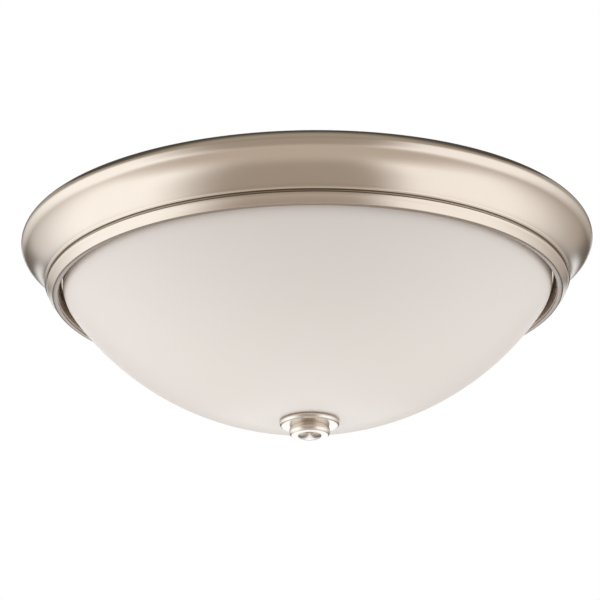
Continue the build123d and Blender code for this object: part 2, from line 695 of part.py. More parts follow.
for number, side in ((1, 1), (2, -1)):
    plane = lamp_plane(side)
    axis = lamp_axis(side)
    back = back_plane(side)

    with BuildPart() as holder_body:
        with BuildSketch(plane) as holder_section:
            with BuildLine() as holder_outline:
                Polyline(
                    (0, 0),
                    (holder_radius - holder_edge, 0),
                    (holder_radius, holder_edge),
                    (holder_radius, holder_collar_length),
                    (holder_waist_radius, holder_collar_length + holder_taper),
                    (holder_waist_radius, holder_length - holder_edge),
                    (holder_waist_radius - holder_edge, holder_length),
                    (holder_bore_radius, holder_length),
                    (holder_bore_radius, holder_back_wall),
                    (0, holder_back_wall),
                    close=True,
                )
            make_face()
        revolve(axis=axis)
        with BuildSketch(back) as lead_pockets:
            with GridLocations(2 * lead_spread, 0, 2, 1):
                Circle(lead_radius + lead_pocket_clearance)
        extrude(amount=-lead_pocket_depth, mode=Mode.SUBTRACT)
        with BuildSketch(back) as holder_screw_holes:
            with GridLocations(0, 2 * holder_screw_spread, 1, 2):
                Circle(holder_screw_radius)
        extrude(amount=-holder_screw_depth, mode=Mode.SUBTRACT)
    holder_body.part.label = f"holder_{number}_body"
    export_step(holder_body.part, f"parts/holder_{number}_body.step")

    with BuildPart() as holder_shell:
        with BuildSketch(plane) as shell_section:
            with BuildLine() as shell_face:
                flange_reach = holder_back_wall + shell_sheet
                rings = screw_rings(shell_low_radius, shell_high_radius, lamp_screw_rings + 1)
                FilletPolyline(
                    (shell_flange_radius, flange_reach),
                    (shell_low_radius, flange_reach),
                    *rings,
                    radius=[2 * shell_sheet] + [ring_round] * (len(rings) - 1),
                )
                offset(amount=shell_sheet, side=Side.RIGHT)
            make_face()
        revolve(axis=axis)
    holder_shell.part.label = f"holder_{number}_screw_shell"
    export_step(holder_shell.part, f"parts/holder_{number}_screw_shell.step")

    with BuildPart() as holder_contact:
        with BuildSketch(back.offset(-holder_back_wall)) as contact_face:
            Circle(contact_radius)
        extrude(amount=-contact_height)
        fillet(holder_contact.edges().group_by(Axis.Y)[-1 if side > 0 else 0], contact_round)
    holder_contact.part.label = f"holder_{number}_contact"
    export_step(holder_contact.part, f"parts/holder_{number}_contact.step")

    with BuildPart() as bracket:
        with BuildSketch(back) as bracket_upright:
            with Locations((0, (floor_above_axis - bracket_drop_below_axis) / 2)):
                Rectangle(bracket_width, floor_above_axis + bracket_drop_below_axis)
            fillet(bracket_upright.vertices().group_by(Axis.Y)[0], bracket_corner)
            with GridLocations(2 * lead_spread, 0, 2, 1):
                Circle(bushing_bore, mode=Mode.SUBTRACT)
            with GridLocations(0, 2 * holder_screw_spread, 1, 2):
                Circle(holder_screw_radius, mode=Mode.SUBTRACT)
        extrude(amount=bracket_thickness)
        with BuildSketch(Plane.XY.offset(-floor_depth)) as bracket_foot_face:
            with Locations((0, side * (holder_back + foot_end) / 2)):
                Rectangle(bracket_width, bracket_foot)
            fillet(bracket_foot_face.vertices().group_by(Axis.Y)[-1 if side > 0 else 0], bracket_corner)
            with Locations((0, side * (holder_back + rivet_setback))):
                with GridLocations(2 * rivet_spread, 0, 2, 1):
                    Circle(rivet_radius, mode=Mode.SUBTRACT)
        extrude(amount=-bracket_thickness)
    bracket.part.label = f"holder_{number}_bracket"
    export_step(bracket.part, f"parts/holder_{number}_bracket.step")

    with BuildPart() as lamp_glass:
        with BuildSketch(plane) as lamp_glass_section:
            with BuildLine() as lamp_glass_face:
                Line((neck_radius, collar_reach), (neck_radius, neck_curve_reach))
                RadiusArc((neck_radius, neck_curve_reach), globe_touch, neck_curve_radius)
                ThreePointArc(
                    globe_touch,
                    (globe_radius, globe_centre_reach),
                    (0, tip_reach),
                )
                offset(amount=glass_wall, side=Side.LEFT)
            make_face()
        revolve(axis=axis)
    lamp_glass.part.label = f"lamp_{number}_globe"
    export_step(lamp_glass.part, f"parts/lamp_{number}_globe.step")

    with BuildPart() as lamp_cap:
        with BuildSketch(plane) as lamp_cap_section:
            with BuildLine() as lamp_cap_face:
                rings = screw_rings(screw_low_radius, lamp_screw_radius, lamp_screw_rings)
                FilletPolyline(
                    (insulator_radius, cap_start_reach),
                    *rings,
                    (collar_radius, collar_reach),
                    (collar_radius, cap_end_reach),
                    radius=[2 * cap_sheet] + [ring_round] * (len(rings) - 2) + [2 * cap_sheet] * 2,
                )
                offset(amount=cap_sheet, side=Side.LEFT)
            make_face()
        revolve(axis=axis)
    lamp_cap.part.label = f"lamp_{number}_screw_cap"
    export_step(lamp_cap.part, f"parts/lamp_{number}_screw_cap.step")

    with BuildPart() as lamp_insulator:
        with BuildSketch(plane) as insulator_section:
            with BuildLine() as insulator_outline:
                Polyline(
                    (0, insulator_reach),
                    (insulator_radius - insulator_height, insulator_reach),
                    (insulator_radius, cap_start_reach),
                    (0, cap_start_reach),
                    close=True,
                )
            make_face()
        revolve(axis=axis)
    lamp_insulator.part.label = f"lamp_{number}_insulator"
    export_step(lamp_insulator.part, f"parts/lamp_{number}_insulator.step")

    with BuildPart() as lamp_contact:
        with BuildSketch(back.offset(-lamp_contact_depth)) as lamp_contact_face:
            Circle(lamp_contact_radius)
        extrude(amount=-lamp_contact_height)
        fillet(lamp_contact.edges().group_by(Axis.Y)[0 if side > 0 else -1], lamp_contact_round)
    lamp_contact.part.label = f"lamp_{number}_contact"
    export_step(lamp_contact.part, f"parts/lamp_{number}_contact.step")

    with BuildPart() as lamp_stem:
        with BuildSketch(plane) as stem_section:
            with BuildLine() as stem_outline:
                flare_radius = neck_radius - glass_wall - thread_clearance
                Polyline(
                    (0, stem_foot_reach),
                    (flare_radius, stem_foot_reach),
                    (flare_radius, stem_foot_reach + glass_wall),
                    (stem_radius, stem_foot_reach + stem_flare_length),
                    (stem_radius, stem_top_reach),
                    (0, stem_top_reach),
                    close=True,
                )
            make_face()
        revolve(axis=axis)
    lamp_stem.part.label = f"lamp_{number}_stem"
    export_step(lamp_stem.part, f"parts/lamp_{number}_stem.step")

    filament_points = [
        (across / 2, side * (holder_back + reach), -lamp_depth)
        for across, reach in (
            (-filament_foot_spread, stem_top_reach),
            (-filament_foot_spread, stem_top_reach + filament_foot),
            (-filament_span, stem_top_reach + filament_height),
            (filament_span, stem_top_reach + filament_height),
            (filament_foot_spread, stem_top_reach + filament_foot),
            (filament_foot_spread, stem_top_reach),
        )
    ]
    lamp_filament = make_wire(filament_points, filament_radius, f"lamp_{number}_filament")
    lamp_filament.part.label = f"lamp_{number}_filament"
    export_step(lamp_filament.part, f"parts/lamp_{number}_filament.step")

with BuildPart() as holder_screws:
    for side in (1, -1):
        head_plane = back_plane(side).offset(bracket_thickness)
        with BuildSketch(head_plane) as holder_screw_heads:
            with GridLocations(0, 2 * holder_screw_spread, 1, 2):
                Circle(holder_screw_head_radius)
        extrude(amount=holder_screw_head_height)
        with BuildSketch(head_plane) as holder_screw_shanks:
            with GridLocations(0, 2 * holder_screw_spread, 1, 2):
                Circle(holder_screw_radius)
        extrude(amount=-bracket_thickness - holder_screw_depth)
holder_screws.part.label = "holder_screws"
export_step(holder_screws.part, "parts/holder_screws.step")

with BuildPart() as bracket_rivets:
    for level, radius, height in (
        (below_floor - bracket_thickness - rivet_head_height, rivet_head_radius, rivet_head_height),
        (below_floor - bracket_thickness, rivet_radius, bracket_thickness + sheet),
        (above_floor, rivet_head_radius, rivet_head_height),
    ):
        with BuildSketch(Plane.XY.offset(level)) as rivet_face:
            with GridLocations(2 * rivet_spread, 2 * (holder_back + rivet_setback), 2, 2):
                Circle(radius)
        extrude(amount=height)
bracket_rivets.part.label = "bracket_rivets"
export_step(bracket_rivets.part, "parts/bracket_rivets.step")
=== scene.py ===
# %% [markdown]
# # Flush mount ceiling light
#
# This script dresses a finished construction model of a round ceiling light: a spun nickel
# pan against the ceiling, an opal glass bowl under it, and a small turned finial that holds
# the bowl up. The construction model comes first as a fixed frame. Every piece made here
# sits on it, at its real size in metres, and rides on one of its moving bodies.

# %% Load the frame
from math import asin, atan2, ceil, cos, degrees, hypot, pi, radians, sin, sqrt, tan

import bmesh
import bpy
from mathutils import Matrix, Vector, noise


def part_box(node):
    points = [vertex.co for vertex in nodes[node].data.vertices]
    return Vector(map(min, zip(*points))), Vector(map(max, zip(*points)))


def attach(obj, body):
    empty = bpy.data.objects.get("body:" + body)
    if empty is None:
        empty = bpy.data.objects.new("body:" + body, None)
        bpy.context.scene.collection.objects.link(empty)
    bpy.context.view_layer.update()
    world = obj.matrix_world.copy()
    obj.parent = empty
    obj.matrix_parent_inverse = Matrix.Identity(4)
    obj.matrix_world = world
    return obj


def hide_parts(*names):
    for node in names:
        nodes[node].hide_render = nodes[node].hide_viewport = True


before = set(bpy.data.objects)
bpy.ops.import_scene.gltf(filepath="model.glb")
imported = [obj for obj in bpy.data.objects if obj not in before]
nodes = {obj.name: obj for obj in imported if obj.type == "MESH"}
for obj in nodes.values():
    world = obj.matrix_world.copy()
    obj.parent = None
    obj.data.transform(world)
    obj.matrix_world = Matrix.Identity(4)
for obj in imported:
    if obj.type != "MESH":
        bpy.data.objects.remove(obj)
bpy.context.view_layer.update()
mm = 0.001

# %% [markdown]
# ## Shader maths as Python expressions
#
# A procedural finish is arithmetic on coordinates: a radius, a noise, a threshold. Wiring
# that by hand hides the idea, so one small class wraps a socket and overloads the operators.
# `1 - mask` then adds the Math node by itself, and a finish reads like a formula.


# %% Sockets that can be added and multiplied
class Value:
    """A socket's value inside a finish, with Python's own arithmetic."""

    def __init__(self, finish, socket):
        self.finish = finish
        self.socket = socket

    def maths(self, operation, *others):
        return self.finish.node("ShaderNodeMath", {"operation": operation}, [self, *others])

    def __add__(self, other):
        return self.maths("ADD", other)

    def __sub__(self, other):
        return self.maths("SUBTRACT", other)

    def __mul__(self, other):
        return self.maths("MULTIPLY", other)

    def __pow__(self, other):
        return self.maths("POWER", other)

    def __rsub__(self, other):
        return self.finish.node("ShaderNodeMath", {"operation": "SUBTRACT"}, [other, self])

    __radd__ = __add__
    __rmul__ = __mul__


# %% [markdown]
# A finish is one Principled shader with its own tree. One method adds any node by its type,
# with its options set first and its sockets after. The others are what most finishes need:
# coordinates, noise, a blend of two colours, a soft threshold and a bump.


# %% Finishes
def rgba(value):
    """A colour with full alpha. Any other value stays as it is."""
    return (*value, 1) if isinstance(value, tuple) else value


class Finish:
    """A material whose nodes are added by name, with settings first and sockets after."""

    def __init__(self, name):
        self.material = bpy.data.materials.new(name)
        self.material.use_nodes = True
        self.tree = self.material.node_tree
        self.tree.nodes.clear()
        self.shader = self.tree.nodes.new("ShaderNodeBsdfPrincipled")
        output = self.tree.nodes.new("ShaderNodeOutputMaterial")
        self.tree.links.new(self.shader.outputs["BSDF"], output.inputs["Surface"])

    def give(self, socket, value):
        if isinstance(value, Value):
            self.tree.links.new(value.socket, socket)
        else:
            socket.default_value = value

    def node(self, kind, settings=None, values=(), out=0):
        node = self.tree.nodes.new(kind)
        for key, setting in (settings or {}).items():
            setattr(node, key, setting)
        pairs = values.items() if isinstance(values, dict) else enumerate(values)
        for key, value in pairs:
            self.give(node.inputs[key], value)
        return Value(self, node.outputs[out])

    def point(self):
        """The point on the piece, in metres."""
        return self.node("ShaderNodeTexCoord", out="Object")

    def parts(self, vector):
        """A vector's x, y and z."""
        split = self.tree.nodes.new("ShaderNodeSeparateXYZ")
        self.give(split.inputs[0], vector)
        return [Value(self, split.outputs[axis]) for axis in "XYZ"]

    def noise(self, vector, scale, detail=3.0, roughness=0.5):
        sizes = {"Vector": vector, "Scale": scale, "Detail": detail, "Roughness": roughness}
        return self.node("ShaderNodeTexNoise", {}, sizes)

    def vector(self, x, y, z):
        return self.node("ShaderNodeCombineXYZ", {}, [x, y, z])

    def blend(self, mask, first, second):
        """From the first colour where the mask is 0 to the second where it is 1."""
        # A Mix node has its colours in sockets 6 and 7, and gives a colour at output 2.
        values = {0: mask, 6: rgba(first), 7: rgba(second)}
        return self.node("ShaderNodeMix", {"data_type": "RGBA"}, values, out=2)

    def rise(self, value, low, high):
        """From 0 where the value is low to 1 where it is high, with soft ends."""
        limits = {"Value": value, "From Min": low, "From Max": high}
        return self.node("ShaderNodeMapRange", {"interpolation_type": "SMOOTHSTEP"}, limits)

    def bump(self, height, distance, strength=1.0):
        values = {"Height": height, "Distance": distance, "Strength": strength}
        return self.node("ShaderNodeBump", {}, values)

    def wear(self, **sockets):
        """Sets the surface's sockets: Base_Color becomes the socket Base Color, and so on."""
        for key, value in sockets.items():
            self.give(self.shader.inputs[key.replace("_", " ")], rgba(value))
        return self.material


# %% [markdown]
# ## The nickel
#
# The pan and the finial are plated with a warm satin nickel. Plating on spun steel isn't
# even: the lathe leaves very fine rings, and polishing leaves soft clouds in the gloss. The
# rings are a noise whose coordinates are the radius and the height, both scaled up, so it
# varies fast across the profile and hardly at all around it. It stays faint, because at
# arm's length the real surface only looks softly blurred. In a groove or under a lip the
# colour is darkened with painted shade, for the shadow and dark reflections that fall
# there, and the gloss is made duller.

# %% Satin nickel
nickel_colours = ((0.63, 0.522, 0.425), (0.59, 0.487, 0.394))
nickel_roughness = 0.21
ring_fineness, ring_drift, ring_depth = 1500.0, 9, 0.000004
cloud_tint, ring_tint = 0.6, 0.3
cloud_gloss, ring_gloss, recess_gloss = 0.07, 0.05, 0.15
painted_shade_blur = 0.3


def satin_nickel(name, colours=nickel_colours, rough=nickel_roughness, fineness=ring_fineness, painted_shade_recesses=()):
    """Satin nickel with painted shade, darker and duller, in each recess: a radius, two heights and a
    colour.
    """
    finish = Finish(name)
    point = finish.point()
    x, y, z = finish.parts(point)
    radius = (x * x + y * y) ** 0.5
    across = finish.vector(radius * fineness + x * ring_drift, z * fineness + y * ring_drift, 0.0)
    rings = finish.noise(across, scale=1.0, detail=2.0)
    clouds = finish.noise(point, scale=22.0, detail=4.0, roughness=0.6)
    colour = finish.blend(clouds * cloud_tint + rings * ring_tint, *colours)
    gloss = clouds * cloud_gloss + rings * ring_gloss + (rough - (cloud_gloss + ring_gloss) / 2)
    blur = painted_shade_blur * mm
    # Painted shade: inside each recess the colour is blended to a darker one, which stands in for the shadow
    # there.
    for (rim, low, high), shade in painted_shade_recesses:
        inside = finish.rise(radius, rim * mm, rim * mm - blur)
        inside = inside * finish.rise(z, low * mm - blur, low * mm)
        inside = inside * finish.rise(z, high * mm + blur, high * mm)
        colour = finish.blend(inside, colour, shade)
        gloss = gloss + inside * recess_gloss
    return finish.wear(
        Base_Color=colour,
        Metallic=1.0,
        Roughness=gloss,
        Normal=finish.bump(rings, distance=ring_depth, strength=0.6),
    )


# %% [markdown]
# ## The glass
#
# Opal glass is clear glass with a milky layer, and here its outside is etched to a satin
# skin. Light that enters scatters back, so most of what shows is a plain warm white, with a
# soft reflection that grows towards the rim of the view. A white base with a low specular
# level and a faint clear coat gives both. A little unevenness in the coat keeps it from
# looking like paper.

# %% Opal glass
opal_colour = (0.80, 0.742, 0.695)
opal_shade = (0.785, 0.722, 0.67)


def opal_glass():
    finish = Finish("opal_glass")
    point = finish.point()
    milk = finish.noise(point, scale=14.0)
    grain = finish.noise(point, scale=900.0, detail=2.0)
    return finish.wear(
        Base_Color=finish.blend(milk, opal_colour, opal_shade),
        Roughness=milk * 0.06 + 0.42,
        Specular_IOR_Level=0.12,
        Coat_Weight=milk * 0.08 + 0.06,
        Coat_Roughness=0.2,
        Normal=finish.bump(grain, distance=0.00001, strength=0.25),
    )


glass = opal_glass()
print("made", glass.name)

# %% [markdown]
# ## Finishes inside the light
#
# What hides behind the glass shows when the bowl is lowered, and from above. The metals
# differ in colour and in grain. Zinc plating also has a spangle of flakes, which a Voronoi
# pattern makes.


# %% Zinc, copper, brass and other metals
def plated(name, colour, shade, roughness, grain, spangle=0.0):
    finish = Finish(name)
    point = finish.point()
    clouds = finish.noise(point, scale=grain, detail=4.0, roughness=0.6)
    flakes = finish.node("ShaderNodeTexVoronoi", {}, {"Vector": point, "Scale": grain * 6}, out="Distance")
    mask = clouds * (1 - spangle) + flakes * spangle
    return finish.wear(
        Base_Color=finish.blend(mask, colour, shade),
        Metallic=1.0,
        Roughness=mask * 0.18 + (roughness - 0.06),
        Normal=finish.bump(clouds, distance=0.00002, strength=0.4),
    )


# Each has a name, two colours, a roughness, how fine its grain is, and its share of spangle.
zinc = plated("zinc_steel", (0.66, 0.67, 0.68), (0.50, 0.51, 0.54), 0.34, 60.0, 0.5)
green_zinc = plated("green_steel", (0.06, 0.34, 0.13), (0.03, 0.22, 0.09), 0.32, 90.0)
copper = plated("bare_copper", (0.86, 0.47, 0.30), (0.62, 0.28, 0.17), 0.30, 120.0)
brass = plated("stamped_brass", (0.83, 0.64, 0.30), (0.62, 0.45, 0.19), 0.28, 90.0)
aluminium = plated("drawn_aluminium", (0.80, 0.80, 0.81), (0.66, 0.66, 0.68), 0.30, 90.0)
tungsten = plated("tungsten", (0.36, 0.36, 0.38), (0.28, 0.27, 0.28), 0.40, 300.0)
print("metals", [metal.name for metal in (zinc, green_zinc, copper, brass, aluminium, tungsten)])

# %% [markdown]
# Porcelain, plastic, rubber and lamp glass come out of a mould or a die, and each keeps a
# fine skin: the glaze's orange peel, the pores of nylon, the frost of a lamp. One function
# makes them all, because only colour, gloss, grain and coat differ.


# %% Porcelain, plastic, rubber and lamp glass
def moulded(name, colour, shade, roughness, grain, depth, coat=0.0):
    finish = Finish(name)
    point = finish.point()
    clouds = finish.noise(point, scale=grain)
    skin = finish.noise(point, scale=grain * 14, detail=2.0)
    return finish.wear(
        Base_Color=finish.blend(clouds, colour, shade),
        Roughness=clouds * 0.10 + (roughness - 0.05),
        Coat_Weight=coat,
        Coat_Roughness=0.05,
        Normal=finish.bump(skin, distance=depth, strength=0.5),
    )


# Each has a name, two colours, a roughness, a grain, its skin's depth in metres, and a coat.
porcelain = moulded("glazed_porcelain", (0.84, 0.82, 0.77), (0.78, 0.75, 0.69), 0.22, 45.0, 0.00003, 0.8)
lamp_white = moulded("frosted_lamp", (0.88, 0.87, 0.85), (0.84, 0.83, 0.80), 0.34, 60.0, 0.00001)
rubber = moulded("rubber", (0.035, 0.034, 0.033), (0.055, 0.053, 0.05), 0.62, 160.0, 0.00006)
nylon = moulded("nylon", (0.05, 0.05, 0.052), (0.075, 0.075, 0.075), 0.42, 160.0, 0.00002)
black_skin = moulded("black_insulation", (0.02, 0.02, 0.021), (0.035, 0.034, 0.033), 0.38, 200.0, 0.00002)
white_skin = moulded("white_insulation", (0.80, 0.79, 0.75), (0.72, 0.70, 0.65), 0.38, 200.0, 0.00002)
orange_cap = moulded("connector_plastic", (0.78, 0.20, 0.02), (0.68, 0.16, 0.015), 0.36, 140.0, 0.00002)
black_glass = moulded("vitrified_glass", (0.012, 0.011, 0.014), (0.03, 0.025, 0.03), 0.15, 120.0, 0.00001)
clear_glass = moulded("pressed_glass", (0.72, 0.78, 0.76), (0.66, 0.73, 0.71), 0.12, 90.0, 0.00001, 0.6)
mouldings = (
    porcelain, lamp_white, rubber, nylon, black_skin, white_skin, orange_cap, black_glass, clear_glass,
)
print("mouldings", [moulding.name for moulding in mouldings])

# %% [markdown]
# Mineral wool is long strands that cross. Two noises, each stretched along one axis of the
# mat, give the strands, and a third one gives the tufts.


# %% Mineral wool
strand_fineness, strand_stretch = 1900, 260


def mineral_wool():
    finish = Finish("mineral_wool")
    point = finish.point()
    x, y, z = finish.parts(point)
    tufts = finish.noise(point, scale=55.0, detail=5.0, roughness=0.65)
    fine, stretched = strand_fineness, strand_stretch
    along = finish.vector(x * stretched, y * fine, z * fine)
    across = finish.vector(x * fine, y * stretched, z * fine)
    strands = finish.noise(along, scale=1.0, detail=4.0, roughness=0.7)
    crossing = finish.noise(across, scale=1.0, detail=4.0, roughness=0.7)
    felt = strands.maths("MAXIMUM", crossing)
    return finish.wear(
        Base_Color=finish.blend(tufts * 0.6 + felt * 0.5, (0.82, 0.62, 0.26), (0.93, 0.82, 0.55)),
        Roughness=0.9,
        Specular_IOR_Level=0.25,
        Normal=finish.bump(felt + tufts, distance=0.0006, strength=0.9),
    )


wool = mineral_wool()
print("finishes", len(bpy.data.materials))

# %% [markdown]
# ## Profiles
#
# Nearly every piece of this light is turned or spun, so its shape is a profile turned round
# an axis. A profile here is a list of (radius, height) points in millimetres. Round
# stretches come from arcs, so a bead stays a bead however finely it is cut.

# %% Arcs
arc_step = radians(9)


def arc_about(centre, radius, start, end, step=arc_step):
    """Points of an arc about a centre, from one angle in degrees to another."""
    count = max(2, ceil(abs(radians(end - start)) / step))
    angles = [radians(start + (end - start) * i / count) for i in range(count + 1)]
    return [(centre[0] + radius * cos(a), centre[1] + radius * sin(a)) for a in angles]


def arc_between(start, end, bulge, count=10):
    """Points of an arc between two points that bulges to the left of the way it goes."""
    run = (end[0] - start[0], end[1] - start[1])
    half = hypot(*run) / 2
    radius = (half**2 + bulge**2) / (2 * abs(bulge))
    side = 1 if bulge > 0 else -1
    left = (-run[1] / (2 * half) * side, run[0] / (2 * half) * side)
    reach = abs(bulge) - radius
    middle = ((start[0] + end[0]) / 2, (start[1] + end[1]) / 2)
    centre = (middle[0] + left[0] * reach, middle[1] + left[1] * reach)
    first = atan2(start[1] - centre[1], start[0] - centre[0])
    last = atan2(end[1] - centre[1], end[0] - centre[0])
    sweep = (last - first + pi) % (2 * pi) - pi
    angles = [first + sweep * i / count for i in range(count + 1)]
    return [(centre[0] + radius * cos(a), centre[1] + radius * sin(a)) for a in angles]


print("points of a quarter circle", len(arc_about((0, 0), 1, 0, 90)))

# %% [markdown]
# A corner of a profile is rounded as a sheet or a casting is: a circle that touches both
# sides. A small radius still gets at least two steps, so that no corner is a bare edge.


# %% Rounded corners
def rounded(points, radii, step=arc_step):
    """A run of straight lines with a round at each inner corner, one radius for each."""
    result = [points[0]]
    for before, corner, after, radius in zip(points, points[1:], points[2:], radii):
        into = Vector((corner[0] - before[0], corner[1] - before[1])).normalized()
        away = Vector((after[0] - corner[0], after[1] - corner[1])).normalized()
        turn = into.angle(away, 0.0)
        if radius <= 0 or turn < 0.001:
            result.append(corner)
            continue
        reach = radius * tan(turn / 2)
        side = 1 if into.x * away.y - into.y * away.x > 0 else -1
        start = (corner[0] - into.x * reach, corner[1] - into.y * reach)
        centre = (start[0] - into.y * radius * side, start[1] + into.x * radius * side)
        first = atan2(start[1] - centre[1], start[0] - centre[0])
        count = max(2, ceil(turn / step))
        for i in range(count + 1):
            angle = first + side * turn * i / count
            result.append((centre[0] + radius * cos(angle), centre[1] + radius * sin(angle)))
    result.append(points[-1])
    return result


print("points of a rounded square corner", len(rounded([(0, 0), (9, 0), (9, 9)], [2])))

# %% [markdown]
# Runs are joined end to end. A spun sheet has two faces, and the second one is the first
# moved over by the sheet's thickness.


# %% Joined runs and a sheet's other face
def joined(*runs):
    """One profile from several runs, each of which starts where the one before ends."""
    result = list(runs[0])
    for run in runs[1:]:
        same = hypot(result[-1][0] - run[0][0], result[-1][1] - run[0][1]) < 0.001
        result.extend(run[1:] if same else run)
    return result


def right_of(profile, distance):
    """The profile moved to the right of the way it goes, as the far side of a sheet is."""
    result = []
    for i, point in enumerate(profile):
        before = profile[max(i - 1, 0)]
        after = profile[min(i + 1, len(profile) - 1)]
        into = Vector((point[0] - before[0], point[1] - before[1]))
        away = Vector((after[0] - point[0], after[1] - point[1]))
        into = (into if into.length > 0 else away).normalized()
        away = (away if away.length > 0 else into).normalized()
        middle = (into + away).normalized()
        mitre = distance / max(middle.dot(into), 0.5)
        result.append((point[0] + middle.y * mitre, point[1] - middle.x * mitre))
    return result


print("a sheet from", [(5, 0), (5, -9)], "to", right_of([(5, 0), (5, -9)], 1))

# %% [markdown]
# ## Turning a profile
#
# Blender's Screw modifier or Spin could turn a profile, but a few lines of mesh code do it
# with full control: a point on the axis becomes one vertex instead of a ring, so poles are
# closed, and the faces are turned outwards by the sign of the finished volume.


# %% Turn a closed profile round an axis
merge_distance = 0.0000001
axis_radius = 0.0005


def finish_mesh(name, verts, faces, material, sharp=32.0):
    """A mesh object at the origin, facing outwards, smooth but for its sharp edges."""
    mesh = bpy.data.meshes.new(name)
    mesh.from_pydata([Vector(v) for v in verts], [], faces)
    solid = bmesh.new()
    solid.from_mesh(mesh)
    bmesh.ops.remove_doubles(solid, verts=solid.verts, dist=merge_distance)
    if solid.calc_volume(signed=True) < 0:
        bmesh.ops.reverse_faces(solid, faces=solid.faces)
    solid.to_mesh(mesh)
    solid.free()
    mesh.polygons.foreach_set("use_smooth", [True] * len(mesh.polygons))
    mesh.set_sharp_from_angle(angle=radians(sharp))
    mesh.materials.append(material)
    piece = bpy.data.objects.new(name, mesh)
    bpy.context.scene.collection.objects.link(piece)
    return piece


def upright(radius, height, angle):
    return (radius * cos(angle) * mm, radius * sin(angle) * mm, height * mm)


def turned(name, profile, material, around=192, place=upright, sharp=32.0):
    """A closed profile turned round an axis. Points on the axis become one vertex each."""
    verts, faces, rings = [], [], []
    for radius, height in profile:
        if radius < axis_radius:
            rings.append([len(verts)] * around)
            verts.append(place(0.0, height, 0.0))
        else:
            rings.append(list(range(len(verts), len(verts) + around)))
            verts.extend(place(radius, height, 2 * pi * i / around) for i in range(around))
    for low, high in zip(rings, rings[1:] + rings[:1]):
        for i in range(around):
            j = (i + 1) % around
            corners = [low[i], low[j], high[j], high[i]]
            face = [c for k, c in enumerate(corners) if c not in corners[:k]]
            if len(face) > 2:
                faces.append(face)
    return finish_mesh(name, verts, faces, material, sharp)


# %% [markdown]
# ## The pan
#
# The pan is one sheet of steel, spun over a form on a lathe. Against the ceiling it rolls
# over and falls into a hollow cove. A narrow groove between two beads parts the cove from a
# band, which runs in to a turned lip. Inside, the sheet turns back up to the ledge that the
# glass closes against, and on to a flat floor that carries the lamps. Each size below is one
# that a maker would cut into the form. Points are a radius and a height in millimetres.

# %% Sizes of the pan
pan_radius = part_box("pan")[1].x / mm
sheet = 0.8
roll_radius, rim_flange = 6.7, 4.0
cove_foot, cove_foot_tilt, cove_foot_bulge = (174.9, -32.1), 4.0, 0.28
bead_edge, bead_fall = (174.0, -33.5), (0.2, 0.25)
groove_floor = (170.9, -34.0)
lower_bead_crest = (173.35, -35.85)
groove_rounds = (0.15, 0.5, 0.35)
band_start, band_end, band_hollow = (172.95, -36.75), (169.6, -41.5), 0.15
lip_corner, lip_corner_radius, lip_corner_start = (168.44, -40.72), 1.4, -34.0
lip_centre, lip_radius = (167.0, -40.48), 1.7
ledge_depth, ledge_width, lip_draft = 31.5, 7.0, 0.8
floor_depth, floor_draft = 12.0, 2.5
ledge_round, ledge_edge, floor_round = 1.5, 2.0, 4.0
rod_radius = 3.175
rod_hole = rod_radius + 0.25
floor_ring_step = 12.0

roll_centre = (pan_radius - roll_radius, -roll_radius)
ledge_outer = lip_centre[0] - lip_radius - lip_draft
ledge_inner = ledge_outer - ledge_width
floor_radius = ledge_inner - floor_draft
print("pan radius", round(pan_radius, 2), "floor radius", round(floor_radius, 2))

# %% [markdown]
# The cove is one circle. It has to leave the roll without a crease and reach the upper bead
# at a known slope, and those two conditions fix its radius, so it is worked out and not
# measured.


# %% Roll and cove
def cove_arc():
    """The cove's circle touches the roll's circle and meets the beads at its foot."""
    tilt = radians(cove_foot_tilt)
    out = cove_foot[0] - roll_centre[0]
    down = cove_foot[1] - roll_centre[1]
    radius = (out**2 + down**2 - roll_radius**2) / (
        2 * (roll_radius - out * cos(tilt) + down * sin(tilt))
    )
    centre = (cove_foot[0] + radius * cos(tilt), cove_foot[1] - radius * sin(tilt))
    touch = atan2(centre[1] - roll_centre[1], centre[0] - roll_centre[0])
    meet = (roll_centre[0] + roll_radius * cos(touch), roll_centre[1] + roll_radius * sin(touch))
    half = hypot(meet[0] - cove_foot[0], meet[1] - cove_foot[1]) / 2
    bulge = radius - sqrt(radius**2 - half**2)
    print("cove radius mm", round(radius, 1))
    return arc_about(roll_centre, roll_radius, 90, degrees(touch)), arc_between(meet, cove_foot, -bulge, 30)


roll, cove = cove_arc()

# %% [markdown]
# The rest of the face follows from the sizes: groove and beads, band, lip, and the inside.
# The floor gets a ring of points every few millimetres, so that no face of it is a sliver.

# %% The pan's profile
bead_foot = (bead_edge[0] - bead_fall[0], bead_edge[1] - bead_fall[1])
groove = rounded([bead_edge, bead_foot, groove_floor, lower_bead_crest, band_start], groove_rounds)
floor_rings = [
    (floor_radius - floor_ring_step * i, -floor_depth)
    for i in range(1, int((floor_radius - rod_hole) / floor_ring_step))
]
inside = rounded(
    [
        (lip_centre[0] - lip_radius, lip_centre[1]),
        (ledge_outer, -ledge_depth),
        (ledge_inner, -ledge_depth),
        (floor_radius, -floor_depth),
        floor_rings[0],
    ],
    [ledge_round, ledge_edge, floor_round],
)
pan_face = joined(
    [(roll_centre[0] - rim_flange, 0.0), roll[0]],
    roll,
    cove,
    arc_between(cove_foot, bead_edge, cove_foot_bulge, 5),
    groove,
    arc_between(band_start, band_end, -band_hollow, 6),
    arc_about(lip_corner, lip_corner_radius, lip_corner_start, -90),
    arc_about(lip_centre, lip_radius, -90, -180),
    inside,
    [*floor_rings, (rod_hole, -floor_depth)],
)
pan_profile = pan_face + right_of(pan_face, sheet)[::-1]
print("pan profile points", len(pan_profile))
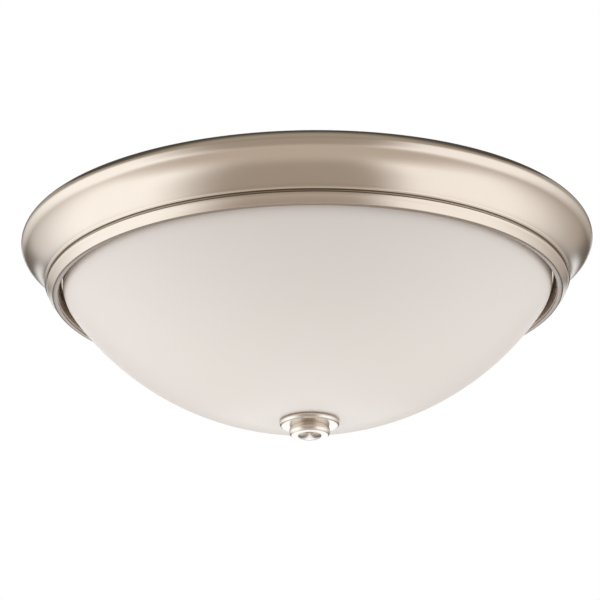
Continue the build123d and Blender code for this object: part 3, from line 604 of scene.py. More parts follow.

# %% [markdown]
# Two places on the pan get painted shade, a darker colour and a duller gloss: the groove, and
# the underside of the lip, where shadow and dark reflections fall.

# %% The pan's nickel
groove_shade_zone = (lower_bead_crest[0] + 0.35, lower_bead_crest[1] + 0.1, bead_edge[1] - 0.15)
lip_shade_zone = (band_end[0] + 0.9, -43.0, -41.9)
# The painted shade's colours, for the groove and for the lip's underside.
groove_painted_shade, lip_painted_shade = (0.42, 0.355, 0.285), (0.36, 0.29, 0.235)
pan_nickel = satin_nickel("pan_nickel", painted_shade_recesses=[(groove_shade_zone, groove_painted_shade), (lip_shade_zone, lip_painted_shade)])
print("groove between", groove_shade_zone[1:], "lip below", lip_shade_zone[2])

# %% [markdown]
# The floor of the pan is pierced: two keyholes drop over the heads of the screws that carry
# the pan, and the pan is turned ten degrees to lock it. Round holes let the leads, the rivets
# and the ground screw through. Holes don't follow the turning, so they are prisms that one
# boolean cuts out of the turned pan.


# %% Prisms, cutting and joining
def prism(outline, low, high, name="cutter"):
    """A closed upright prism over an outline given in millimetres."""
    count = len(outline)
    verts = [(x * mm, y * mm, z * mm) for z in (low, high) for x, y in outline]
    faces = [list(range(count))[::-1], list(range(count, 2 * count))]
    faces += [[i, (i + 1) % count, count + (i + 1) % count, count + i] for i in range(count)]
    return finish_mesh(name, verts, faces, zinc)


def cut(piece, cutter):
    """Cuts one piece's shape out of another, and removes the cutter."""
    knife = piece.modifiers.new("cut", "BOOLEAN")
    knife.object = cutter
    knife.solver = "MANIFOLD"
    bpy.context.view_layer.update()
    evaluated = piece.evaluated_get(bpy.context.evaluated_depsgraph_get())
    mesh = bpy.data.meshes.new_from_object(evaluated)
    piece.modifiers.remove(knife)
    piece.data = mesh
    bpy.data.objects.remove(cutter)
    return piece


def circle(x, y, radius, count=24):
    angles = [2 * pi * i / count for i in range(count)]
    return [(x + radius * cos(a), y + radius * sin(a)) for a in angles]


def together(name, pieces):
    """One object from several."""
    whole = pieces[0]
    with bpy.context.temp_override(
        active_object=whole, object=whole, selected_objects=pieces, selected_editable_objects=pieces
    ):
        bpy.ops.object.join()
    whole.name = name
    whole.data.name = name
    return whole


# %% [markdown]
# A keyhole is a curved slot about the pan's axis. One end is round, and the other opens into
# an eye that the screw's head passes through.

# %% Keyholes
screw_reach = 55.0
keyhole_turn = 10.0
slot_radius, eye_radius = 2.43, 5.0
neck_overlap, eye_opening = 0.4, 29.1
slot_steps, eye_steps, tip_steps = 6, 24, 10


def keyhole(start):
    """Outline of a curved slot that opens into a round eye."""
    eye = radians(start + keyhole_turn)
    neck = eye - ((eye_radius**2 - slot_radius**2) ** 0.5 + neck_overlap) / screw_reach
    near = screw_reach - slot_radius
    far = screw_reach + slot_radius
    angles = [radians(start) + (neck - radians(start)) * i / slot_steps for i in range(slot_steps + 1)]
    outer = [(far * cos(a), far * sin(a)) for a in angles]
    inner = [(near * cos(a), near * sin(a)) for a in angles[::-1]]
    centre = (screw_reach * cos(eye), screw_reach * sin(eye))
    first = start + keyhole_turn - 90 + eye_opening
    turns = [radians(first + (360 - 2 * eye_opening) * i / eye_steps) for i in range(eye_steps + 1)]
    eye_points = [(centre[0] + eye_radius * cos(t), centre[1] + eye_radius * sin(t)) for t in turns]
    tip = (screw_reach * cos(radians(start)), screw_reach * sin(radians(start)))
    turns = [radians(start + 180 + 180 * i / tip_steps) for i in range(1, tip_steps)]
    cap = [(tip[0] + slot_radius * cos(t), tip[1] + slot_radius * sin(t)) for t in turns]
    return outer + eye_points + inner + cap


print("keyhole points", len(keyhole(0)))

# %% [markdown]
# The sheet is turned in fine steps, because the pan's outline is the largest curve in the
# picture. The rivets and the ground screw have a fiftieth of a millimetre round them.

# %% Spin the pan and cut its holes
bushing_spread, bushing_offset, bushing_radius = 9.0, 8.0, 3.2
rivet_spread, rivet_reach, rivet_radius = 8.0, 38.0, 1.6
ground_reach, ground_bar_offset, ground_radius = 38.0, 22.0, 2.08
hole_slack = 0.02
pan_holes = [keyhole(0), keyhole(180), circle(ground_bar_offset, ground_reach, ground_radius + hole_slack)]
for x in (-1, 1):
    for y in (-1, 1):
        pan_holes.append(circle(x * bushing_spread, y * bushing_offset, bushing_radius))
        pan_holes.append(circle(x * rivet_spread, y * rivet_reach, rivet_radius + hole_slack))
pan = turned("pan_spinning", pan_profile, pan_nickel, around=288)
cut(pan, together("cutters", [prism(hole, -floor_depth - 1, -floor_depth + 2) for hole in pan_holes]))
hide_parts("pan")
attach(pan, "root")
print("pan faces", len(pan.data.polygons), "width mm", round(pan.dimensions.x / mm, 2))

# %% [markdown]
# ## The glass bowl
#
# The bowl is blown into a mould: a shallow spherical crown with a soft shoulder and a short
# upright skirt that hides behind the pan's lip. Its rim is fire polished, and the hole at
# the bottom is ground flat where the washer seats. The inner wall follows the outer one.

# %% Sizes of the bowl
bowl_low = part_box("glass_bowl")[0].z / mm
bowl_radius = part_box("glass_bowl")[1].x / mm
bowl_wall = 4.0
bowl_depth = 96.8
bowl_skirt = 8.5
bowl_shoulder = 18.0
bowl_rim_round, hole_round = 1.4, 0.4
bowl_hole, bowl_seat = 6.0, 16.5
crown_height = bowl_depth - bowl_skirt
crown_radius = (bowl_radius**2 + crown_height**2) / (2 * crown_height)
crown_centre = crown_radius - ledge_depth - bowl_depth
print("crown radius mm", round(crown_radius, 1))

# %% [markdown]
# The crown is a sphere, so its height follows from the distance to the axis. The shoulder
# is softer than a circle: a smooth curve that leaves the sphere in the sphere's own
# direction and arrives upright at the skirt.


# %% Crown and shoulder
def crown_z(radius, reach):
    """Height of the lower side of a sphere about the crown's centre."""
    return crown_centre - sqrt(radius**2 - reach**2)


def crown_points(radius, first, last, count):
    """Points along the crown at even steps of reach, both ends included."""
    reaches = [first + (last - first) * i / count for i in range(count + 1)]
    return [(reach, crown_z(radius, reach)) for reach in reaches]


def round_between(run, corner_index, radius, steps=14):
    """Rounds the corner of a dense run of points by a smooth curve, nearly a circle of this radius."""
    corner = Vector(run[corner_index])
    before = (Vector(run[corner_index - 1]) - corner).normalized()
    after = (Vector(run[corner_index + 1]) - corner).normalized()
    half = before.angle(after) / 2
    reach = radius / tan(half)
    keep_before = [p for p in run[:corner_index] if (Vector(p) - corner).length > reach]
    keep_after = [p for p in run[corner_index + 1:] if (Vector(p) - corner).length > reach]
    start = Vector(keep_before[-1])
    end = Vector(keep_after[0])
    leave = (start - Vector(keep_before[-2])).normalized()
    arrive = (Vector(keep_after[1]) - end).normalized()
    pull = (end - start).length / (3 * cos(leave.angle(arrive) / 4) ** 2)
    points = []
    for i in range(1, steps):
        t = i / steps
        a, b = start + leave * pull, end - arrive * pull
        p = start * (1 - t) ** 3 + a * 3 * t * (1 - t) ** 2 + b * 3 * t**2 * (1 - t) + end * t**3
        points.append((p.x, p.y))
    return keep_before + points + keep_after


# %% [markdown]
# Both faces of the glass are the same three stretches: crown, shoulder and skirt. A molten
# rim draws itself round, and the ground hole keeps only a small chamfer.

# %% Blow the bowl
seat_z = crown_z(crown_radius, bowl_seat)
crown_steps, skirt_steps = 60, 12


def bowl_face(sphere, first, side, shoulder):
    """One face of the glass, from the hole at the bottom to the foot of the rim."""
    run = crown_points(sphere, first, side, crown_steps)
    corner = len(run) - 1
    foot = run[corner][1]
    rise = -ledge_depth - bowl_rim_round - foot
    run += [(side, foot + rise * i / skirt_steps) for i in range(1, skirt_steps + 1)]
    return round_between(run, corner, shoulder)


outer_wall = bowl_face(crown_radius, bowl_seat, bowl_radius, bowl_shoulder)
inner_side = bowl_radius - bowl_wall
inner_wall = bowl_face(crown_radius - bowl_wall, bowl_hole, inner_side, bowl_shoulder - bowl_wall)
rim = rounded(
    [outer_wall[-1], (bowl_radius, -ledge_depth), (inner_side, -ledge_depth), inner_wall[-1]],
    [bowl_rim_round * 0.98] * 2,
)
hole_edge = rounded([inner_wall[0], (bowl_hole, seat_z), outer_wall[0]], [hole_round])
bowl_profile = joined(outer_wall, rim, inner_wall[::-1], hole_edge[:-1])
bowl = turned("opal_bowl", bowl_profile, glass, around=288, sharp=40.0)
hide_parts("glass_bowl")
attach(bowl, "bowl")
print("bowl low mm", round(min(z for r, z in bowl_profile), 2), "frame", round(bowl_low, 2))

# %% [markdown]
# ## The finial
#
# Two turned pieces close the hole in the glass. The cap is a flat cup with a soft round
# foot and a wall that swells a little. It hides the washer, and it rides on the bowl.

# %% Turn the cap
cap_radius, cap_plate, cap_wall = 19.9, 1.4, 1.3
knob_radius, knob_height = 13.4, 5.8
cap_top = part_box("finial_cap")[1].z / mm
cap_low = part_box("finial_cap")[0].z / mm
washer_bore = rod_radius + 0.5
rim_round, rim_turn, rim_inset, rim_lift = 1.5, -16.0, 0.35, 0.7
wall_bulge, wall_edge = 0.16, 0.2
rim_centre = (cap_radius - rim_inset - rim_round, cap_low + rim_lift + rim_round)
wall_foot = (
    rim_centre[0] + rim_round * cos(radians(rim_turn)),
    rim_centre[1] + rim_round * sin(radians(rim_turn)),
)
wall_top = (wall_foot[0], cap_top - wall_edge)
cup_radius = cap_radius - cap_wall - 1.0
cap_profile = joined(
    [(washer_bore, cap_low), (knob_radius + 0.3, cap_low)],
    arc_about(rim_centre, rim_round, -90, rim_turn, radians(8)),
    arc_between(wall_foot, wall_top, -wall_bulge, 8),
    rounded(
        [
            wall_top,
            (wall_foot[0] - 0.1, cap_top),
            (cup_radius, cap_top),
            (cup_radius, cap_low + cap_plate + 1.0),
            (washer_bore, cap_low + cap_plate),
        ],
        [0.1, 0.2, 0.6],
    ),
)
# The finial gets a lighter copy of the pan's nickel: painted light, which brightens the reflections that its
# small faces cast on each other.
finial_painted_light_nickel = satin_nickel(
    "finial_painted_light_nickel",
    colours=((0.70, 0.615, 0.53), (0.66, 0.58, 0.50)),
    rough=nickel_roughness + 0.06,
    fineness=2 * ring_fineness,
)
cap = turned("finial_cap_turned", cap_profile, finial_painted_light_nickel, around=160)
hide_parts("finial_cap")
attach(cap, "bowl")
print("cap from", round(cap_low, 2), "to", round(cap_top, 2))

# %% [markdown]
# The knob threads onto the rod below the cap. It is a shallow drum whose side swells and
# draws in again, then a small step, and a domed button. The dome is part of a sphere that
# just reaches the button's edge.

# %% Turn the knob
knob_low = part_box("finial_knob")[0].z / mm
knob_bore, knob_end_wall = rod_radius + 0.08, 1.8
button_radius, button_step = 7.6, 0.4
shoulder_inset, shoulder_bulge = 0.9, 0.22
foot_inset, foot_bulge, belly_height = 1.3, 0.35, 2.3
drum_low = cap_low - knob_height
belly_foot = (knob_radius, drum_low + belly_height)
belly_run = joined(
    arc_between((knob_radius - shoulder_inset, cap_low), belly_foot, shoulder_bulge, 10),
    arc_between(belly_foot, (knob_radius - foot_inset, drum_low), foot_bulge, 10),
)
dome_rise = drum_low - button_step - knob_low
dome_radius = (button_radius**2 + dome_rise**2) / (2 * dome_rise)
dome_edge = -90 + degrees(asin(button_radius / dome_radius))
dome_run = arc_about((0.0, knob_low + dome_radius), dome_radius, dome_edge, -90, radians(3))
knob_profile = joined(
    [(knob_bore, cap_low), *belly_run],
    [(button_radius + 0.3, drum_low), (button_radius, drum_low - 0.1)],
    dome_run[:-1],
    [(0.0, knob_low), (0.0, knob_low + knob_end_wall), (knob_bore, knob_low + knob_end_wall)],
)
knob = turned("finial_knob_turned", knob_profile, finial_painted_light_nickel, around=160, sharp=28.0)
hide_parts("finial_knob")
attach(knob, "finial")
print("finial low mm", round(knob_low, 2))

# %% [markdown]
# ## Copies in a row
#
# Threads, teeth, ribs and screws are one small shape many times over. A Geometry Nodes tree
# sets them out: a line of points, a copy on each, and each copy turned on from the one
# before. Its inputs have names, so the same tree serves a screw thread, which steps along,
# and a ring of teeth, which only turns. The result is made a plain mesh straight away.


# %% Trees with named inputs
def node_tree(name, sockets):
    """An empty Geometry Nodes tree with named inputs and one output."""
    tree = bpy.data.node_groups.new(name, "GeometryNodeTree")
    for socket, kind in sockets.items():
        tree.interface.new_socket(socket, in_out="INPUT", socket_type="NodeSocket" + kind)
    tree.interface.new_socket("Geometry", in_out="OUTPUT", socket_type="NodeSocketGeometry")
    return tree


def wire(tree, *links):
    for source, target in links:
        tree.links.new(source, target)


def make_real(tree, copies, material):
    """Ends a tree: the copies become real faces and get their material."""
    real = tree.nodes.new("GeometryNodeRealizeInstances")
    finish = tree.nodes.new("GeometryNodeSetMaterial")
    output = tree.nodes.new("NodeGroupOutput")
    wire(
        tree,
        (copies.outputs["Instances"], real.inputs["Geometry"]),
        (real.outputs["Geometry"], finish.inputs["Geometry"]),
        (material, finish.inputs["Material"]),
        (finish.outputs["Geometry"], output.inputs["Geometry"]),
    )


# %% [markdown]
# The tree itself has few nodes: a line of points, an instance on each, and the point's
# number times the turn as its rotation.


# %% A tree that repeats a shape
def repeat_tree():
    tree = node_tree(
        "repeat",
        {
            "Shape": "Object", "Count": "Int", "Start": "Vector",
            "Step": "Vector", "Turn": "Vector", "Finish": "Material",
        },
    )
    given = tree.nodes.new("NodeGroupInput").outputs
    row = tree.nodes.new("GeometryNodeMeshLine")
    shape = tree.nodes.new("GeometryNodeObjectInfo")
    number = tree.nodes.new("GeometryNodeInputIndex")
    turned_on = tree.nodes.new("ShaderNodeVectorMath")
    turned_on.operation = "SCALE"
    copies = tree.nodes.new("GeometryNodeInstanceOnPoints")
    wire(
        tree,
        (given["Count"], row.inputs["Count"]),
        (given["Start"], row.inputs["Start Location"]),
        (given["Step"], row.inputs["Offset"]),
        (given["Shape"], shape.inputs["Object"]),
        (given["Turn"], turned_on.inputs["Vector"]),
        (number.outputs["Index"], turned_on.inputs["Scale"]),
        (row.outputs["Mesh"], copies.inputs["Points"]),
        (shape.outputs["Geometry"], copies.inputs["Instance"]),
        (turned_on.outputs["Vector"], copies.inputs["Rotation"]),
    )
    make_real(tree, copies, given["Finish"])
    return tree


repeat_nodes = repeat_tree()
print("nodes in the tree", len(repeat_nodes.nodes))

# %% [markdown]
# A modifier grows the shape, and new_from_object turns the result into a plain mesh. After
# that the piece needs neither the modifier nor the shape it was repeated from.


# %% Grow a mesh from a tree
def grown(name, tree, values):
    """A plain mesh object from a node tree whose inputs are given by name."""
    piece = bpy.data.objects.new(name, bpy.data.meshes.new(name))
    bpy.context.scene.collection.objects.link(piece)
    growth = piece.modifiers.new("nodes", "NODES")
    growth.node_group = tree
    for item in tree.interface.items_tree:
        if item.in_out == "INPUT":
            growth[item.identifier] = values[item.name]
    bpy.context.view_layer.update()
    evaluated = piece.evaluated_get(bpy.context.evaluated_depsgraph_get())
    mesh = bpy.data.meshes.new_from_object(evaluated)
    piece.modifiers.clear()
    piece.data = mesh
    mesh.name = name
    return piece


def repeated(name, shape, count, material, start=(0, 0, 0), step=(0, 0, 0), turn=(0, 0, 0)):
    """Copies of a shape, each a step in millimetres and a turn on from the one before."""
    values = {
        "Shape": shape,
        "Count": count,
        "Start": [v * mm for v in start],
        "Step": [v * mm for v in step],
        "Turn": [float(v) for v in turn],
        "Finish": material,
    }
    piece = grown(name, repeat_nodes, values)
    bpy.data.objects.remove(shape)
    return piece


# %% [markdown]
# ## Screws, nuts and rivets
#
# A thread this fine reads as rings, so it is a row of sharp rings and not a helix. Each ring
# overlaps the next a little, so that no gap opens between them.

# %% Threads
thread_pitch, rod_pitch = 0.79, 1.27
thread_depth, crest_low, crest_high, crest_slack = 0.5, 0.44, 0.56, 0.01
ring_overlap = 0.02


def thread(name, material, radius, low, high, pitch, place=upright, step=(0, 0, 1)):
    """A run of screw thread along one axis, from low to high."""
    root, crest = radius - thread_depth * pitch, radius - crest_slack
    ring = turned(
        name + "_ring",
        [
            (0.0, low - ring_overlap),
            (root, low - ring_overlap),
            (crest, low + crest_low * pitch),
            (crest, low + crest_high * pitch),
            (root, low + pitch + ring_overlap),
            (0.0, low + pitch + ring_overlap),
        ],
        material,
        around=18,
        place=place,
    )
    count = int((high - low - ring_overlap) / pitch)
    return repeated(name, ring, count, material, step=[v * pitch for v in step])


def settle(piece, slot, *replaced):
    """Hides the nodes that a fixed piece replaces, and fixes the piece to the root body. The slot, meant to
    say where its finish comes from, is not used.
    """
    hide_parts(*replaced)
    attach(piece, "root")
    print(piece.name, "faces", len(piece.data.polygons))


# %% [markdown]
# The threaded rod hangs from the crossbar and carries the finial.

# %% Threaded rod
rod_low, rod_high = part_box("centre_rod")[0].z / mm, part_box("centre_rod")[1].z / mm
rod = thread("threaded_rod", zinc, rod_radius, rod_low + ring_overlap, rod_high, rod_pitch)
settle(rod, "zinc_steel", "centre_rod")

# %% [markdown]
# Two nuts clamp the pan's floor to the rod. A nut or a hexagon head is a turned profile as
# well: where the profile meets the flats, the radius grows towards the six corners, and the
# height falls by the thirty degree cone that a lathe leaves there.

# %% Hexagon nuts
nut_flats, nut_height, washer_height = 11.1, 5.0, 1.0
nut_bore = rod_radius + 0.08
cone_share, cone_slope = 0.96, radians(30)
below_floor, above_floor = -floor_depth, -floor_depth + sheet


def hexagon(name, material, flats, low, high, bore):
    """A hexagon nut or head, with corners turned off by a cone at both ends."""
    half = flats / 2
    cone = half * cone_share
    middle_height = (low + high) / 2

    def place(radius, height, angle):
        if radius == half:
            radius = half / cos(angle % (pi / 3) - pi / 6)
            drop = (radius - cone) * tan(cone_slope)
            height += drop if height < middle_height else -drop
        return upright(radius, height, angle)

    profile = [(bore, low), (cone, low), (half, low), (half, high), (cone, high), (bore, high)]
    return turned(name, profile, material, around=48, place=place, sharp=20.0)


upper_nut = (above_floor + washer_height, above_floor + washer_height + nut_height)
lower_nut = (below_floor - washer_height - nut_height, below_floor - washer_height)
nuts = [hexagon("nut", zinc, nut_flats, *levels, nut_bore) for levels in (upper_nut, lower_nut)]
settle(together("hexagon_nuts", nuts), "zinc_steel", "rod_nuts")

# %% [markdown]
# Under each nut lies a toothed washer. Each tooth is bent up a little at one corner, which
# is what bites into the plating and stops the nut from turning back.

# %% Toothed washers
tooth_count = 12
tooth_root, tooth_tip, tooth_sheet, tooth_ring = 4.6, 5.98, 0.7, 4.9
tooth_base, tooth_top = (-0.95, 0.85), (-0.6, 0.4)
slab_faces = [[3, 2, 1, 0], [4, 5, 6, 7], [0, 1, 5, 4], [1, 2, 6, 5], [2, 3, 7, 6], [3, 0, 4, 7]]


def toothed_washer(name, low):
    """A flat ring with a circle of twisted teeth."""
    high = low + tooth_sheet
    ring_profile = [(rod_hole, low), (tooth_ring, low), (tooth_ring, high), (rod_hole, high)]
    ring = turned("ring", ring_profile, zinc, around=48)
    corners = [
        (tooth_root, tooth_base[0], 0.0),
        (tooth_tip, tooth_top[0], 0.0),
        (tooth_tip, tooth_top[1], washer_height - tooth_sheet),
        (tooth_root, tooth_base[1], 0.0),
    ]
    verts = [(x * mm, y * mm, (low + z + up) * mm) for up in (0.0, tooth_sheet) for x, y, z in corners]
    tooth = finish_mesh("tooth", verts, slab_faces, zinc)
    teeth = repeated("teeth", tooth, tooth_count, zinc, turn=(0, 0, 2 * pi / tooth_count))
    return together(name, [ring, teeth])


washers = [toothed_washer("washer", above_floor), toothed_washer("washer", below_floor - washer_height)]
settle(together("toothed_washers", washers), "zinc_steel", "rod_lock_washers")

# %% [markdown]
# Two slotted screws hang from the crossbar, and the pan's keyholes lock over their heads.
# The slot is cut before the screw is repeated, so it is cut once.

# %% Pan screws
pan_screw_radius, pan_screw_head, pan_screw_high = 2.08, 4.1, 2.6
head_rounds, slot_half = (1.1, 0.3), 0.5


def block(low, high):
    """A box between two corners in millimetres, for cutting slots."""
    (x0, y0, z0), (x1, y1, z1) = low, high
    return prism([(x0, y0), (x1, y0), (x1, y1), (x0, y1)], z0, z1)


head_low = below_floor - pan_screw_high
head_profile = rounded(
    [(0.0, head_low), (pan_screw_head, head_low), (pan_screw_head, below_floor), (0.0, below_floor)],
    head_rounds,
)
head = turned("head", head_profile, zinc, around=48)
cut(head, block((-3.2, -slot_half, head_low - 1), (3.2, slot_half, head_low + 1.0)))
shank = thread("shank", zinc, pan_screw_radius, below_floor, 0.0, thread_pitch)
screw = together("screw", [head, shank])
pan_screws = repeated(
    "slotted_screws", screw, 2, zinc, start=(-screw_reach, 0, 0), step=(2 * screw_reach, 0, 0)
)
settle(pan_screws, "zinc_steel", "pan_screws")

# %% [markdown]
# The hexagon screws clamp the bare ground wire, one at the crossbar and one at the pan.
# Green is the colour that ground screws have everywhere.

# %% Ground screws
ground_flats, ground_head, ground_wire_width, bar_sheet = 7.9, 2.2, 1.3, 1.6
bar_head = -bar_sheet - ground_wire_width - ground_head
pan_head = above_floor + ground_wire_width


def ground_screw(place_y, head_z, shank_low, shank_high):
    head = hexagon("head", green_zinc, ground_flats, head_z, head_z + ground_head, 0.0)
    shank = thread("shank", green_zinc, ground_radius, shank_low, shank_high, thread_pitch)
    shape = together("screw", [head, shank])
    return repeated("screw", shape, 1, green_zinc, start=(ground_bar_offset, place_y, 0))


pair = [
    ground_screw(0.0, bar_head, bar_head + 1, 0.0),
    ground_screw(ground_reach, pan_head, below_floor - 3.0, pan_head + 1),
]
settle(together("green_screws", pair), "green_steel", "ground_screws")

# %% [markdown]
# Four rivets hold the lampholders' brackets to the pan's floor. A rivet's two heads are low
# domes, and a row of two is repeated once more to give four.

# %% Rivets
rivet_head, rivet_high, bracket_sheet, rivet_dome = 3.0, 1.0, 1.2, 0.35
rivet_low = below_floor - bracket_sheet - rivet_high
rivet_profile = joined(
    arc_between((0.0, rivet_low), (rivet_head, rivet_low + rivet_high), -rivet_dome, 8),
    [(rivet_radius, rivet_low + rivet_high), (rivet_radius, above_floor), (rivet_head, above_floor)],
    arc_between((rivet_head, above_floor), (0.0, above_floor + rivet_high), -rivet_dome, 8),
)
rivet = turned("rivet", rivet_profile, aluminium, around=36)
row = repeated("row", rivet, 2, aluminium, start=(-rivet_spread, 0, 0), step=(2 * rivet_spread, 0, 0))
rivets = repeated("rivets", row, 2, aluminium, start=(0, -rivet_reach, 0), step=(0, 2 * rivet_reach, 0))
settle(rivets, "aluminium", "bracket_rivets")

# %% [markdown]
# Two screws hold each porcelain body to its bracket. They lie along the lamps' axis, so
# their profile is placed on that axis. Turning the finished pair half round the pan's axis
# gives the pair of the other holder.

# %% Holder screws
holder_back, lamp_depth, holder_screw_spread = 20.0, 45.0, 11.0
holder_screw_radius, holder_screw_head, holder_screw_high = 1.5, 2.8, 1.8
holder_screw_reach, holder_pitch = 4.5, 0.6
slot_depth, small_slot_half = 0.8, 0.35


def on_lamp_axis(side, rise=0.0):
    """Turns a profile round one lamp's axis. Height counts outwards from the holder's back."""

    def place(radius, reach, angle):
        return (
            radius * cos(angle) * mm,
            side * (holder_back + reach) * mm,
            (radius * sin(angle) - lamp_depth + rise) * mm,
        )

    return place


screw_axis = on_lamp_axis(1, -holder_screw_spread)
head_end, head_foot = -bracket_sheet - holder_screw_high, -bracket_sheet
head_profile = rounded(
    [(0.0, head_end), (holder_screw_head, head_end), (holder_screw_head, head_foot), (0.0, head_foot)],
    [0.9, 0.2],
)
head = turned("head", head_profile, zinc, around=36, place=screw_axis)
slot_start, slot_floor = holder_back + head_end - 1, holder_back + head_end + slot_depth
low_screw = -lamp_depth - holder_screw_spread
slot = block((-2.2, slot_start, low_screw - small_slot_half), (2.2, slot_floor, low_screw + small_slot_half))
cut(head, slot)
shank = thread(
    "shank", zinc, holder_screw_radius, head_foot, holder_screw_reach, holder_pitch, screw_axis, (0, 1, 0)
)
pair = repeated("pair", together("screw", [head, shank]), 2, zinc, step=(0, 0, 2 * holder_screw_spread))
holder_screws = repeated("holder_screw_set", pair, 2, zinc, turn=(0, 0, pi))
settle(holder_screws, "zinc_steel", "holder_screws")

# %% [markdown]
# ## Porcelain lampholders
#
# A porcelain holder is pressed, turned while it is soft, and glazed, so it has no sharp
# edge anywhere: the glaze pulls into soft rounds, and two shallow grooves show where it was
# turned. It is one closed profile on the lamp's axis, open at the front for the brass shell.

# %% Turn the two holders
holder_radius, holder_waist, holder_length, holder_wall = 19.0, 17.2, 36.0, 6.0
holder_base, waist_start = 10.0, 12.0
holder_bore, groove_drop, groove_half = 14.4, 0.45, 1.0
grooves = []
for reach in (18.0, 26.0):
    grooves += [
        (holder_waist, reach),
        (holder_waist - groove_drop, reach + groove_half),
        (holder_waist, reach + 2 * groove_half),
    ]
holder_profile = rounded(
    [
        (0.0, 0.0),
        (holder_radius, 0.0),
        (holder_radius, holder_base),
        (holder_waist, waist_start),
        *grooves,
        (holder_waist, holder_length),
        (holder_bore, holder_length),
        (holder_bore, holder_wall),
        (0.0, holder_wall),
    ],
    [1.5, 1.6, 1.2, *[0.5] * 6, 1.5, 0.8, 0.8],
    radians(15),
)
for number, side in ((1, 1), (2, -1)):
    holder = turned(f"porcelain_{number}", holder_profile, porcelain, around=120, place=on_lamp_axis(side))
    settle(holder, "porcelain", f"holder_{number}_body")

# %% [markdown]
# ## Wire connectors
#
# Each pair of leads ends in a twist-on connector: a tapered plastic cap with grip ribs
# round its mouth. One rib is repeated round the cap's axis.

# %% Caps with ribs
lead_level, mouth_reach, connector_offset = -6.3, 18.0, 26.0
connector_length, connector_bore, bore_depth = 20.0, 3.0, 12.0
mouth_radius, tip_radius, mouth_length, tip_start = 4.9, 3.6, 8.4, 13.0
rib_height, rib_count = 0.45, 14
rib_foot, rib_top = ((0.6, 8.0), 0.42), ((1.0, 7.2), 0.2)


def connector(name, way):
    """A cap whose mouth looks along X, on one side of the rod or turned half round to the other."""

    def place(radius, reach, angle):
        return (
            way * (reach - mouth_reach) * mm,
            way * (connector_offset + radius * cos(angle)) * mm,
            (lead_level + radius * sin(angle)) * mm,
        )

    body = mouth_radius - rib_height
    profile = rounded(
        [
            (0.0, bore_depth),
            (connector_bore, bore_depth),
            (connector_bore, 0.0),
            (body, 0.0),
            (body, mouth_length),
            (tip_radius, tip_start),
            (tip_radius - 0.4, connector_length),
            (0.0, connector_length),
        ],
        [0.3, 0.4, 0.5, 1.0, 1.0, 1.4],
    )
    cap = turned(name, profile, orange_cap, around=56, place=place)
    verts = []
    for ((near, far), half), level in ((rib_foot, body - 0.3), (rib_top, mouth_radius - 0.02)):
        corners = ((near, -half), (far, -half), (far, half), (near, half))
        verts += [(way * x * mm, y * mm, level * mm) for x, y in corners]
    rib = finish_mesh("rib", verts, slab_faces, orange_cap)
    centre = (-way * mouth_reach, way * connector_offset, lead_level)
    ribs = repeated("ribs", rib, rib_count, orange_cap, start=centre, turn=(2 * pi / rib_count, 0, 0))
    return together(name, [cap, ribs])


settle(connector("ribbed_cap_black_leads", 1), "connector_plastic", "connector_black")
settle(connector("ribbed_cap_white_leads", -1), "connector_plastic", "connector_white")

# %% [markdown]
# ## The insulation mat
#
# A ring of mineral wool lies on the pan's floor and keeps the lamps' heat from the supply
# wires. It is cut from a loose felt, so it is soft: its top swells and sinks, its edges are
# round and a little torn, and stray fibres lie on it. The ring is a turned profile whose
# points a noise then moves. A second Geometry Nodes tree strews the fibres.

# %% Felt ring
mat_inner, mat_outer, mat_height = 70.0, 148.0, 8.0
mat_foot, mat_edge, mat_corner = 1.5, 0.6, 3.0
foot_steps, top_steps = 8, 26
mat_top = above_floor + mat_height
foot_width = mat_outer - mat_inner - 2 * mat_foot
top_width = mat_outer - mat_inner - 2 * mat_edge
foot_reaches = [mat_inner + mat_foot + foot_width * i / foot_steps for i in range(1, foot_steps + 1)]
top_reaches = [mat_outer - mat_edge - top_width * i / top_steps for i in range(1, top_steps)]
mat_profile = rounded(
    [
        (mat_inner + mat_foot, above_floor),
        *[(reach, above_floor) for reach in foot_reaches],
        (mat_outer - mat_edge, mat_top - mat_edge),
        *[(reach, mat_top - mat_edge) for reach in top_reaches],
        (mat_inner + mat_edge, mat_top - mat_edge),
    ],
    [0] * foot_steps + [mat_corner] + [0] * (top_steps - 1),
)
mat = turned("wool_mat", mat_profile, wool, around=360, sharp=70.0)
print("mat points", len(mat.data.vertices))

# %% [markdown]
# Noises of different sizes swell the top and tear the two edges. Each has a size in
# millimetres, a seed that moves it to another part of the noise, and a strength.

# %% Swell and tear the felt
swells = ((24.0, 3.0, 0.9), (7.0, 11.0, 0.5), (2.6, 19.0, 0.25))
tears = ((5.0, 29.0, 1.1), (16.0, 37.0, 0.9))
swell_drop, tear_depth, tear_reach = 0.4, 0.8, 8


def felt_noise(point, layers):
    """The sum of several noises at a point, each with its size, its seed and its strength."""
    total = 0.0
    for size, seed, strength in layers:
        x, y, z = (part / (size * mm) for part in point)
        total += strength * noise.noise(Vector((x, y, z + seed)))
    return total


for vertex in mat.data.vertices:
    place = vertex.co.copy()
    radius = hypot(place.x, place.y)
    from_middle = 2 * (radius / mm - mat_inner) / (mat_outer - mat_inner) - 1
    near_edge = 1 - min(1.0, (1 - abs(from_middle)) * tear_reach)
    height_share = max(0.0, (place.z / mm - above_floor) / mat_height)
    push = (felt_noise(place, tears) - tear_depth) * near_edge * (1 if from_middle > 0 else -1)
    vertex.co.z += (felt_noise(place, swells) - swell_drop) * height_share * mm
    vertex.co.x += place.x / radius * push * mm
    vertex.co.y += place.y / radius * push * mm
print("mat top mm", round(max(v.co.z for v in mat.data.vertices) / mm, 2))

# %% [markdown]
# Stray fibres lie on the felt wherever it faces up. A second tree strews points over the
# mat with a fixed seed, and lays a fibre on each one, turned at random and tipped a little.


# %% A tree that strews a shape over a surface
fibre_tilt, upward_share = 0.05, 0.75


